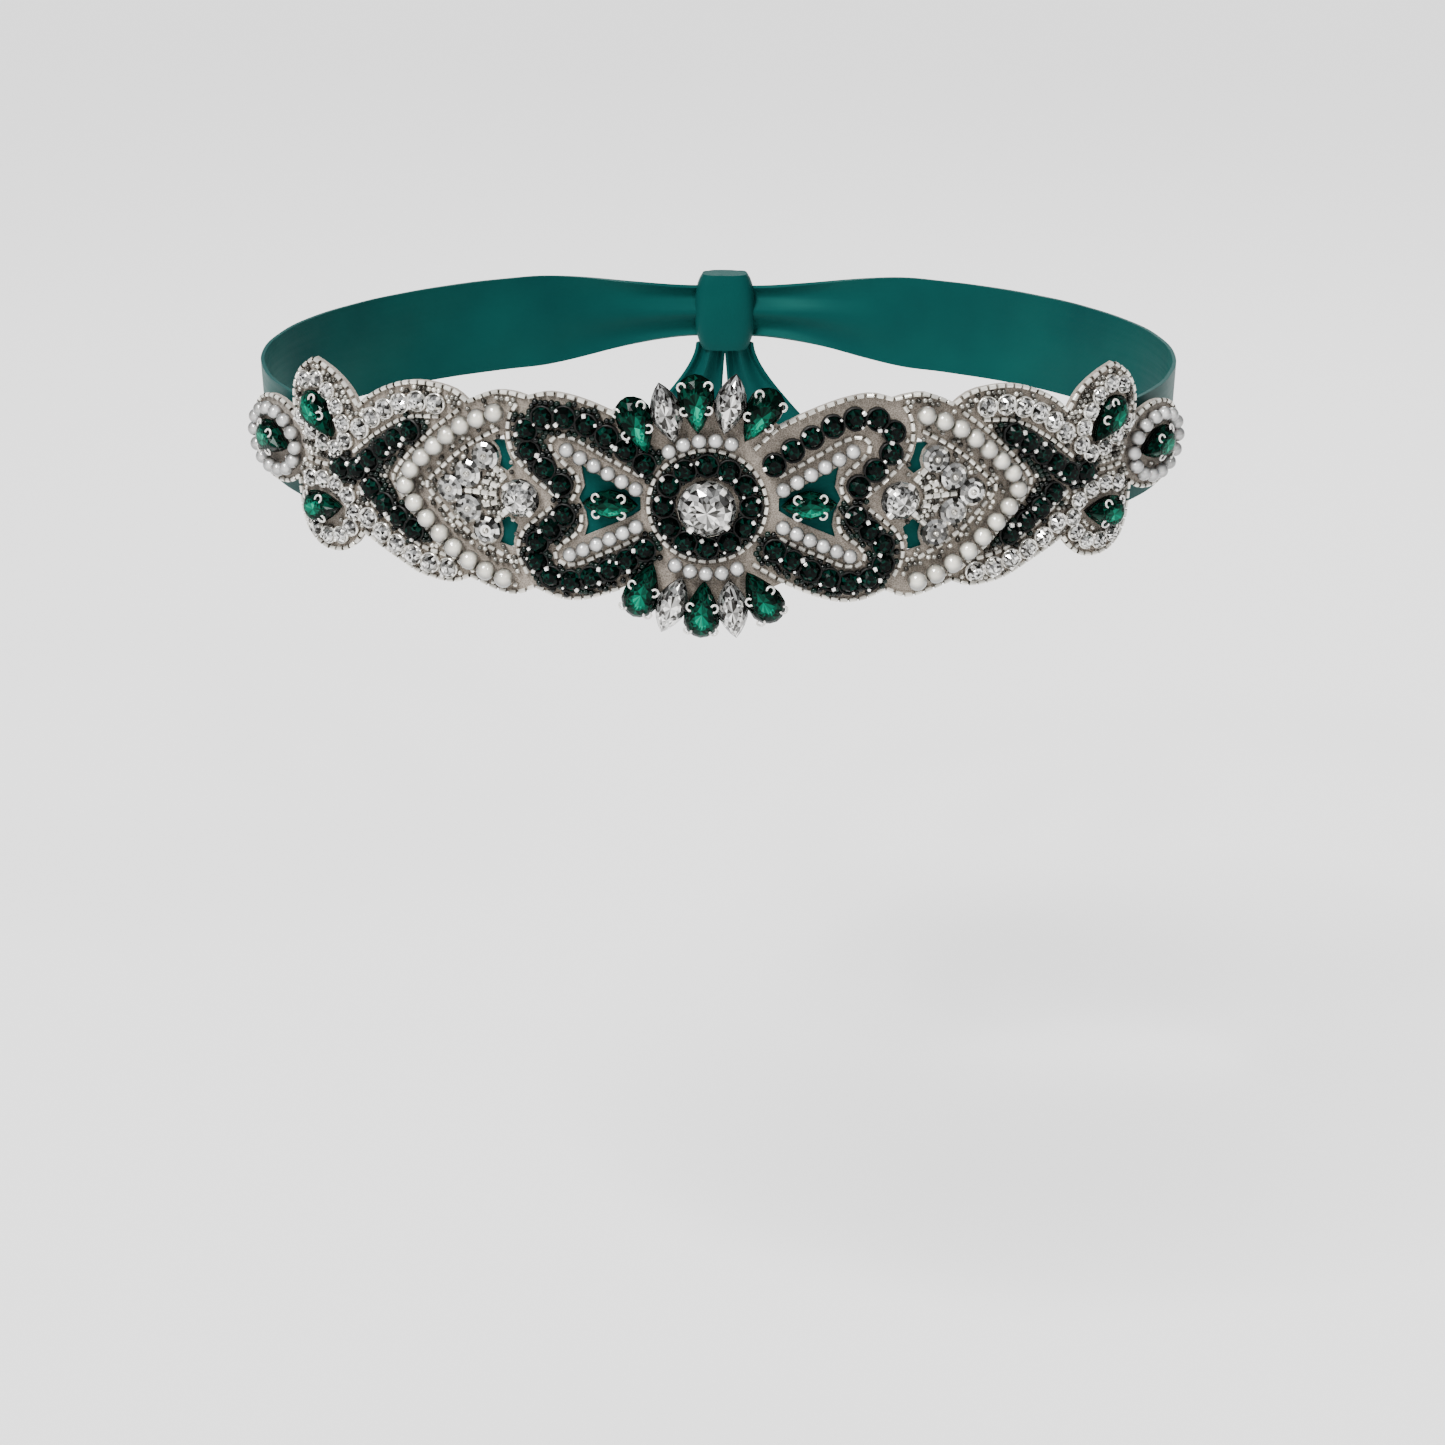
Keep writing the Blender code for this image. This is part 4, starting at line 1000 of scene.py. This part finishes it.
def sew(name, nodes, slot, copies):
    """One object of copied shapes, which stands for CAD nodes. Each copy has a tone of its own."""
    points, faces, materials, is_smooth, tones = [], [], [], [], []
    dice = random.Random(name)
    first = 0
    for shape, spots in copies:
        for spot in spots:
            turn = np.array(spot.to_3x3())
            points.append(shape.points @ turn.T + np.array(spot.translation))
            faces += [tuple(first + i for i in face) for face in shape.faces]
            first += len(shape.points)
            materials += shape.materials
            is_smooth += shape.smooth
            shift = dice.random()
            if shape.wander:
                moved = [tone + shape.wander * (shift - 0.5) for tone in shape.tones]
                tones += [min(max(tone, 0.0), 1.0) for tone in moved]
            else:
                tones += [(tone + shift) % 1.0 for tone in shape.tones]
    mesh = bpy.data.meshes.new(name)
    mesh.from_pydata(np.concatenate(points), [], faces)
    used = sorted(set(materials))
    for material in used:
        mesh.materials.append(MATERIALS[material])
    mesh.polygons.foreach_set("material_index", [used.index(material) for material in materials])
    mesh.polygons.foreach_set("use_smooth", is_smooth)
    mesh.attributes.new("tone", "FLOAT", "FACE").data.foreach_set("value", tones)
    mesh.update()
    return added(mesh, slot, nodes)


def lean_of(ahead):
    """The lean of a shape whose X points ahead."""
    return -math.degrees(math.atan2(ahead.y, ahead.x))


def spots_along(centres, level, closed=False):
    """Places of pieces strung on a line, their X along it."""
    count = len(centres)
    spots = []
    for i, centre in enumerate(centres):
        before = centres[i - 1] if i or closed else centre * 2 - centres[1]
        after = centres[(i + 1) % count] if i + 1 < count or closed else centre * 2 - centres[i - 1]
        spots.append(sewn_spot(centre.x, centre.y, level, lean_of(after - before)))
    return spots


def on_ground(places):
    """Upright sewn places on the cloth."""
    return [sewn_spot(p.x, p.y, CLOTH_OUTER) for p in places]


def flower_oval():
    """The line of the pearls round the right end flower."""
    return ellipse(FLOWER, FLOWER_RING_HALF_SIZES, 0, 360, 1)


def beads_on(path, start=0.0, end=None):
    """Places of bugle beads end to end along a path."""
    lengths = path_lengths(path)
    end = lengths[-1] if end is None else end
    count = round((end - start) / BUGLE_PITCH)
    pitch = (end - start) / count
    centres = [at_length(path, lengths, start + pitch * (i + 0.5)) for i in range(count)]
    return spots_along(centres, CLOTH_OUTER + BUGLE_RADIUS * 0.75)


def side_lines(side):
    """The bead lines of one side: each a path, and the lengths along it where its beads start and end."""
    turned_side = mirrored if side < 0 else list
    lines = []
    for name, points in [*UPPER_EDGES.items(), *LOWER_EDGES.items()]:
        path = smooth(points)
        length = path_lengths(path)[-1]
        bare = WING_LINE_STARTS[side] if name == "wing" else 0
        start, end = (bare, length) if points[0][1] > 0 else (0, length - bare)
        lines.append((turned_side(path), start, end))
    paths = [smooth(points) for points in INNER_LINES.values()]
    paths.append(ellipse(FLOWER, FLOWER_EDGE_HALF_SIZES, *FLOWER_TURNS, FINE_STEP))
    return lines + [(turned_side(path), 0, None) for path in paths]


def bead_lines():
    """Every bead line on the cloth."""
    lines = side_lines(1) + side_lines(-1)
    lines += [(smooth(points), 0, None) for points in ROOT_LINES]
    medallion = ellipse(MEDALLION_CENTRE, (MEDALLION_RADIUS, MEDALLION_RADIUS), 0, 360, FINE_STEP)
    return lines + [(medallion, 0, None)]


def strings():
    """Each string of sewn pieces: its name, side, kind and centres."""
    for name, (kind, count, points) in STRINGS.items():
        right = spaced(smooth(points), count)
        yield name, "right", kind, right
        yield name, "left", kind, mirrored(right)


def gap_places(name, side, kind, centres):
    """Places in the gaps between strung dark stones, to both sides of their line, where near-black beads also
    stand in for the shade between the cups.
    """
    if kind != "dark_stone" or (name, side) == BARE_CHAIN:
        return []
    found = []
    for a, b in zip(centres, centres[1:]):
        across = Vector((-(b - a).y, (b - a).x)).normalized() * GAP_BEAD_REACH
        found += [(a + b) / 2 - across, (a + b) / 2 + across]
    return found


# Cloth


def selected_alone(piece):
    bpy.ops.object.select_all(action="DESELECT")
    bpy.context.view_layer.objects.active = piece
    piece.select_set(True)


def sheet_piece(name, node_name, points, faces, uvs, material, slot):
    """A cloth piece in place of a CAD node, with its UV map in metres of cloth."""
    mesh = bpy.data.meshes.new(name)
    mesh.from_pydata([tuple(p) for p in points], [], faces)
    layer = mesh.uv_layers.new(name="cloth")
    for loop in mesh.loops:
        layer.data[loop.index].uv = uvs[loop.vertex_index]
    mesh.materials.append(MATERIALS[material])
    return added(mesh, slot, [node_name])


def thickened(piece, thickness, offset=-1.0):
    """Gives a cloth its wall, with softened edges."""
    selected_alone(piece)
    wall = piece.modifiers.new("wall", "SOLIDIFY")
    wall.thickness = thickness * MM
    wall.offset = offset
    bpy.ops.object.modifier_apply(modifier="wall")
    bpy.ops.object.shade_smooth_by_angle(angle=math.radians(40))
    return piece


def ribbon_piece(name, node_name, rows, surface):
    """A stretch of ribbon: surface(share along, share across) gives a point and its cloth place."""
    columns = RIBBON_COLUMNS + 1
    shares = [(i / rows, j / RIBBON_COLUMNS) for i in range(rows + 1) for j in range(columns)]
    points, uvs = zip(*(surface(*share) for share in shares))
    corners = [i * columns + j for i in range(rows) for j in range(RIBBON_COLUMNS)]
    faces = [(a, a + columns, a + columns + 1, a + 1) for a in corners]
    return sheet_piece(name, node_name, points, faces, uvs, "emerald_satin", "satin_ribbon")


def band_surface(along_share, across_share):
    """The ribbon round the waist: gathered by the knot, rippled where it is free, faintly cockled."""
    end = HALF_WAIST - KNOT_WIDTH / 2 + KNOT_TUCK
    along = end * (2 * along_share - 1)
    gather = eased((abs(along) - end + GATHER_LENGTH) / GATHER_LENGTH)
    width = RIBBON_WIDTH + (GATHERED_WIDTH - RIBBON_WIDTH) * gather
    free = eased((abs(along) - FREE_START) / FREE_REACH)
    fold = FOLD_DEPTH * gather * math.sin(3 * math.pi * across_share)
    ripple, *cockles = (math.sin(a * along + b * across_share) for a, b in (RIPPLE_TURN, *COCKLE_TURNS))
    ripple *= RIPPLE * free * math.sin(math.pi * across_share)
    cockle = COCKLE * math.prod(cockles)
    out = GATHER_LIFT * gather + fold + ripple + cockle - BAND_SINK
    up = (across_share - 0.5) * width
    return place(along, up, out), (along * MM, across_share * RIBBON_WIDTH * MM)


def tail_surface(side):
    """A free end: folded where it leaves the knot, then open and spread to its side, cut at a slant."""
    def surface(along_share, across_share):
        opened = eased(along_share / TAIL_OPEN_AT)
        spread = eased(along_share / TAIL_SPREAD_AT) ** 0.8
        belly = math.sin(math.pi * along_share)
        width = TAIL_TOP_WIDTH + (RIBBON_WIDTH - TAIL_TOP_WIDTH) * opened
        centre = max(TAIL_TOP_CENTRE + (TAIL_SPREAD - TAIL_TOP_CENTRE) * spread, width / 2 + SEAM_GAP)
        fold = (FOLD_DEPTH * (1 - opened) + TAIL_WAVE * opened * belly) * math.sin(3 * math.pi * across_share)
        across = (across_share - 0.5) * width
        slant = TAIL_END_SLANT * along_share**2 / (RIBBON_WIDTH / 2)
        up = -KNOT_HEIGHT / 2 + KNOT_TUCK - along_share * (TAIL_LENGTH + KNOT_TUCK) + slant * across
        out = TAIL_LEVEL + TAIL_BELLY * belly + fold
        point = place(HALF_WAIST - side * (centre + across), up, out)
        return point, (along_share * TAIL_LENGTH * MM, across_share * RIBBON_WIDTH * MM)
    return surface


def add_knot():
    """The flat knot, with the upright folds of the ribbon that wraps it."""
    points, faces, uvs = [], [], []
    for i in range(KNOT_SECTIONS):
        level = 2 * i / (KNOT_SECTIONS - 1) - 1
        swell = (1 - abs(level) ** 3 * 0.45) ** 0.5
        for j in range(KNOT_RING):
            turn = 2 * math.pi * j / KNOT_RING
            side = math.copysign(abs(math.cos(turn)) ** 0.6, math.cos(turn))
            face = math.copysign(abs(math.sin(turn)) ** 0.7, math.sin(turn))
            crease = abs(math.sin(3 * turn + 0.5 * level)) ** 0.6
            groove = 0.9 * (crease - 0.7) if face > 0 else 0
            out = KNOT_INNER_FACE + (1 + face * swell) * KNOT_DEPTH / 2 + groove * swell
            points.append(place(HALF_WAIST + side * KNOT_WIDTH / 2 * swell, level * KNOT_HEIGHT / 2, out))
            uvs.append((level * KNOT_HEIGHT / 2 * MM, j / KNOT_RING * 2 * RIBBON_WIDTH * MM))
    for low in range(0, (KNOT_SECTIONS - 1) * KNOT_RING, KNOT_RING):
        high = low + KNOT_RING
        for j in range(KNOT_RING):
            k = (j + 1) % KNOT_RING
            faces.append((low + j, low + k, high + k, high + j))
    faces.append(tuple(reversed(range(KNOT_RING))))
    faces.append(tuple(range((KNOT_SECTIONS - 1) * KNOT_RING, KNOT_SECTIONS * KNOT_RING)))
    piece = sheet_piece(
        "satin_knot", "ribbon_knot", points, faces, uvs, "emerald_satin", "satin_ribbon",
    )
    selected_alone(piece)
    with edited():
        face_outwards()
    bpy.ops.object.shade_smooth_by_angle(angle=math.radians(50))
    return piece


def add_ribbon():
    band = thickened(ribbon_piece("satin_ribbon", "ribbon_band", 300, band_surface), RIBBON_THICKNESS, 1.0)
    add_knot()
    for name, side in (("right", 1), ("left", -1)):
        tail = ribbon_piece("satin_tail_" + name, "ribbon_tail_" + name, 40, tail_surface(side))
        thickened(tail, RIBBON_THICKNESS, -side)


def offset(path, margin):
    """The path moved to its left by a margin."""
    moved = []
    for i, point in enumerate(path):
        ahead = path[min(i + 1, len(path) - 1)] - path[max(i - 1, 0)]
        moved.append(point + Vector((-ahead.y, ahead.x)).normalized() * margin)
    return moved


def edge_stretch(points):
    """One stretch of the cloth's edge, outside its bead line."""
    path = offset(smooth(points), EDGE_MARGIN)
    lengths = path_lengths(path)
    count = max(2, round((lengths[-1] - EDGE_STEP) / EDGE_STEP) + 1)
    return spaced(path, count, EDGE_STEP, lengths[-1] - EDGE_STEP)


def fan_arc(first, last):
    return ellipse((0, 0), (FAN_CLOTH_RADIUS, FAN_CLOTH_RADIUS), first, last, EDGE_STEP)


def cloth_outline():
    outline = fan_arc(90, 90 - FAN_CLOTH_ANGLE)
    for points in UPPER_EDGES.values():
        outline.append(Vector(points[0]) + Vector((0, NOTCH_MARGIN)))
        outline += edge_stretch(points)
    sizes = [size + EDGE_MARGIN for size in FLOWER_EDGE_HALF_SIZES]
    first, last = FLOWER_TURNS[0] - FLOWER_NOTCH_TURN, FLOWER_TURNS[1] + FLOWER_NOTCH_TURN
    outline += ellipse(FLOWER, sizes, first, last, EDGE_STEP)
    for name, points in LOWER_EDGES.items():
        if name != "leaf":
            outline.append(Vector(points[0]) - Vector((0, NOTCH_MARGIN)))
        outline += edge_stretch(points)
    outline += fan_arc(FAN_CLOTH_ANGLE - 90, -90)
    return outline + mirrored(outline[1:-1])[::-1]


def cloth_loops():
    """The cloth's outline, and the openings of both halves."""
    right = [[Vector(p) for p in points] for points in CUTOUTS]
    return cloth_outline(), right + [mirrored(hole) for hole in right]


def on_cloth(point, outline, holes):
    return inside(point, outline) and not any(inside(point, hole) for hole in holes)


def grid_steps(pitch):
    """The steps of a grid that covers the cloth, by column and row."""
    columns, rows = int(CLOTH_REACH[0] / pitch), int(CLOTH_REACH[1] / pitch)
    return [(i, j) for i in range(-columns, columns + 1) for j in range(-rows, rows + 1)]


def add_net():
    """The cut net that everything is sewn to."""
    outline, holes = cloth_loops()
    points, edges = [], []
    for loop in [outline] + holes:
        first = len(points)
        points += loop
        edges += [(first + i, first + (i + 1) % len(loop)) for i in range(len(loop))]
    grid = [Vector((i * CLOTH_GRID, (j + (i % 2) * 0.5) * CLOTH_GRID)) for i, j in grid_steps(CLOTH_GRID)]
    points += [point for point in grid if on_cloth(point, outline, holes)]
    found, _, faces, _, _, _ = delaunay_2d_cdt(points, edges, [], 0, WELD)
    middles = [sum((found[i] for i in face), Vector((0, 0))) / 3 for face in faces]
    kept = [tuple(face) for face, middle in zip(faces, middles) if on_cloth(middle, outline, holes)]
    pucker = [NET_PUCKER * math.sin(p.x * 1.3) * math.cos(p.y * 1.1) for p in found]
    places = [sewn_place(p.x, p.y, CLOTH_OUTER - NET_SINK + rise) for p, rise in zip(found, pucker)]
    uvs = [(p.x * MM, p.y * MM) for p in found]
    net = sheet_piece("net_applique", "applique_base", places, kept, uvs, "cream_net", "cream_cloth")
    thickened(net, CLOTH_OUTER - CLOTH_INNER - NET_SINK)


# Pieces on the cloth


def dealt(shapes, spots, dice):
    """Shares places out among the variants of a shape, each turned a little."""
    piles = [[] for _ in shapes]
    for spot in spots:
        turn = Matrix.Rotation(math.radians(dice.uniform(-STONE_TWIST, STONE_TWIST)), 4, "Z")
        dice.choice(piles).append(spot @ turn)
    return [(shape, pile) for shape, pile in zip(shapes, piles) if pile]


def strung_shapes(kind):
    """The variants of a strung piece."""
    size, height = STRUNG[kind].size, STRUNG[kind].height
    if kind == "disc":
        return [disc_shape(size, height)]
    if kind not in PRONGS:
        return [pearl_shape(size, kind)]
    metal, glass = ("dark_metal", "cut_jet_green") if kind == "dark_stone" else ("silver", "cut_crystal")
    return [cup_stone_shape(size, height, metal, glass, prongs) for prongs in PRONGS[kind]]


def stalk_spots(centres):
    """Places of the bugle beads in a row from the lozenge's stone out to each disc."""
    stone = Vector((math.copysign(SINGLE_STONES["stone_lozenge"].along, centres[0].x), 0))
    spots = []
    for centre in centres:
        ahead = centre - stone
        room = ahead.length - STALK_END - STALK_START
        count = int(room / STALK_PITCH)
        first = STALK_START + (room - count * STALK_PITCH) / 2
        for i in range(count):
            spot = stone + ahead.normalized() * (first + STALK_PITCH * (i + 0.5))
            spots.append(sewn_spot(spot.x, spot.y, CLOTH_OUTER + STALK_LEVEL, lean_of(ahead)))
    return spots


def add_strings(shapes, dice):
    gap_bead = pearl_shape(GAP_BEAD, "jet_bead", *BEAD_DETAIL)
    stalk = bugle_shape(*STALK_SIZE)
    for name, side, kind, centres in strings():
        copies = dealt(shapes[kind], spots_along(centres, CLOTH_OUTER), dice)
        gaps = gap_places(name, side, kind, centres)
        if gaps:
            copies.append((gap_bead, on_ground(gaps)))
        if kind == "disc":
            copies.append((stalk, stalk_spots(centres)))
        sew(f"sewn_{name}_{side}", [f"{name}_{side}"], STRUNG[kind].slot, copies)


def add_medallion_ring(stones, dice):
    """The dark stones round the medallion, with small near-black beads in their gaps that also stand in for
    the shade there.
    """
    centre = Vector(MEDALLION_CENTRE)
    turns = [360 * i / MEDALLION_RING_COUNT for i in range(MEDALLION_RING_COUNT)]
    ring = [turned(MEDALLION_RING_RADIUS, turn) + centre for turn in turns]
    gaps = [turned(radius, turn + shift) + centre for turn in turns for radius, shift in MEDALLION_SEEDS]
    copies = dealt(stones, spots_along(ring, CLOTH_OUTER, True), dice)
    copies.append((pearl_shape(RING_BEAD, "jet_bead", *BEAD_DETAIL), on_ground(gaps)))
    sew("sewn_medallion_ring", ["medallion_ring"], "dark_glass", copies)


def add_pearl_rows(pearl):
    """The pearl arcs by the medallion, and the ovals of the end flowers."""
    spread = [ARC_SPACING * (i - (ARC_COUNT - 1) / 2) for i in range(ARC_COUNT)]
    oval = spaced(flower_oval(), FLOWER_PEARLS + 1)[:-1]
    for name, centres, closed in (
        ("pearls_arc_top", [turned(ARC_RADIUS, TOP_ARC_TURN + a) for a in spread], False),
        ("pearls_arc_bottom", [turned(ARC_RADIUS, 180 - BOTTOM_ARC_TURN - a) for a in spread], False),
        ("pearls_flower_right", oval, True),
        ("pearls_flower_left", mirrored(oval), True),
    ):
        sew("sewn_" + name, [name], "pearl", [(pearl, spots_along(centres, CLOTH_OUTER, closed))])


def add_large_stones():
    shapes = {name: large_stone_shape(stone) for name, stone in STONES.items()}

    def sew_stone(node_name, kind, along, up, lean, level=CLOTH_OUTER):
        spot = sewn_spot(along, up, level, lean)
        slot = "emerald_glass" if STONES[kind].glass == "cut_emerald" else "clear_glass"
        sew("sewn_" + node_name, [node_name], slot, [(shapes[kind], [spot])])

    sew_stone("stone_centre", "centre", *MEDALLION_CENTRE, 0)
    for name, fan in FANS.items():
        for i, stone in enumerate(fan):
            sew_stone(f"{name}_{i + 1}", *stone)
    for name, single in SINGLE_STONES.items():
        sew_stone(name + "_right", *single)
        lean = single.lean if STONES[single.kind].outline == "navette" else -single.lean
        sew_stone(name + "_left", single.kind, -single.along, single.up, lean, single.level)


def taken_places():
    """What already lies on the cloth, as circles of (along, up, radius), and the dark stones apart."""
    taken = [(p.x, p.y, BUGLE_RADIUS) for path, _, _ in bead_lines() for p in path]
    dark = []
    for name, side, kind, centres in strings():
        gaps = gap_places(name, side, kind, centres)
        taken += [(p.x, p.y, STRUNG[kind].room) for p in centres]
        taken += [(p.x, p.y, GAP_BEAD_ROOM) for p in gaps]
        if gaps:
            dark += [(p.x, p.y) for p in centres]
    oval = flower_oval()
    taken += [(p.x, p.y, STRUNG["white_pearl"].room) for p in oval + mirrored(oval)]
    for single in SINGLE_STONES.values():
        sine, cosine = math.sin(math.radians(single.lean)), math.cos(math.radians(single.lean))
        for x, y in fine_outline(STONES[single.kind]):
            for share in STONE_FILL:
                along = single.along + (x * cosine + y * sine) * share
                up = single.up + (y * cosine - x * sine) * share
                taken += [(along, up, STONE_ROOM), (-along, up, STONE_ROOM)]
    for along, up in itertools.chain(*CUTOUTS):
        taken += [(along, up, HOLE_ROOM), (-along, up, HOLE_ROOM)]
    return np.array(taken), np.array(dark)


def seed_spots():
    """Places of the seed beads that fill the cloth: jet beside the dark stones, silver further out. The jet
    beads also stand in for the shade between the dark stones.
    """
    outline, holes = cloth_loops()
    taken, dark = taken_places()
    dice = random.Random(11)
    jet, silver = [], []
    for i, j in grid_steps(SEED_PITCH):
        shift = Vector((dice.uniform(-1, 1), dice.uniform(-1, 1))) * SEED_JITTER
        point = Vector((i + (j % 2) * 0.5, j * SEED_ROW_SHARE)) * SEED_PITCH + shift
        free = (np.hypot(taken[:, 0] - point.x, taken[:, 1] - point.y) - taken[:, 2]).min()
        by_dark = np.hypot(dark[:, 0] - point.x, dark[:, 1] - point.y).min() < JET_SHADE_REACH
        if free < SEED_SIZE * (JET_ROOM if by_dark else SEED_ROOM):
            continue
        if (by_dark or abs(point.x) >= SILVER_START) and on_cloth(point, outline, holes):
            spot = sewn_spot(point.x, point.y, CLOTH_OUTER - NET_SINK, dice.uniform(0, 180))
            (jet if by_dark else silver).append(spot)
    return jet, silver


def add_applique():
    bugle = bugle_shape(BUGLE_LENGTH, BUGLE_RADIUS)
    spots = [spot for line in bead_lines() for spot in beads_on(*line)]
    lines = sew("bugle_bead_lines", [], "cream_cloth", [(bugle, spots)])
    jet, silver = seed_spots()
    jet_seed = pearl_shape(JET_SIZE, "jet_bead", *SEED_DETAIL)
    silver_seed = pearl_shape(SEED_SIZE, "silver_seed", *SEED_DETAIL)
    jets = sew("jet_seed_beads", [], "dark_glass", [(jet_seed, jet)])
    seeds = sew("silver_seed_beads", [], "clear_glass", [(silver_seed, silver)])
    add_net()
    shapes = {kind: strung_shapes(kind) for kind in STRUNG}
    dice = random.Random(7)
    add_strings(shapes, dice)
    add_medallion_ring(shapes["dark_stone"], dice)
    add_pearl_rows(shapes["white_pearl"][0])
    add_large_stones()


# Studio


def add_floor():
    floor = begin(bpy.ops.mesh.primitive_plane_add, size=FLOOR_SIZE, location=(0, 0, FLOOR_LEVEL))
    floor.name = "studio_floor"
    made, tree, surface = new_material("pale_floor", Roughness=0.9)
    shade = noise(tree, node(tree, "ShaderNodeTexCoord").outputs["Object"], 1.2, 2.0)
    fill(tree, surface["Base Color"], mixed(tree, shade, (0.88, 0.87, 0.86), (0.91, 0.905, 0.90)))
    floor.data.materials.append(made)


def add_light(kind, name, location, size, energy):
    """A soft light that faces the middle of the sash. A sun's size is its angle in degrees."""
    bpy.ops.object.select_all(action="DESELECT")
    facing = Vector(location).to_track_quat("Z", "Y").to_euler()
    bpy.ops.object.light_add(type=kind, location=location, rotation=facing)
    light = bpy.context.active_object
    light.name = name
    light.data.energy = energy
    if kind == "SUN":
        light.data.angle = math.radians(size)
    else:
        light.data.size = size


def add_studio():
    add_floor()
    world = bpy.data.worlds.new("studio")
    world.use_nodes = True
    background = world.node_tree.nodes["Background"].inputs
    background["Color"].default_value = (0.94, 0.96, 1.0, 1)
    background["Strength"].default_value = 0.55
    bpy.context.scene.world = world
    for light in LIGHTS:
        add_light(*light)
    turns = (math.radians(CAMERA_TILT), 0, math.radians(CAMERA_TURN))
    bpy.ops.object.camera_add(location=CAMERA_PLACE, rotation=turns)
    camera = bpy.context.active_object
    camera.data.lens = CAMERA_LENS
    camera.data.sensor_width = CAMERA_SENSOR
    bpy.context.scene.camera = camera


add_ribbon()
add_applique()
add_studio()
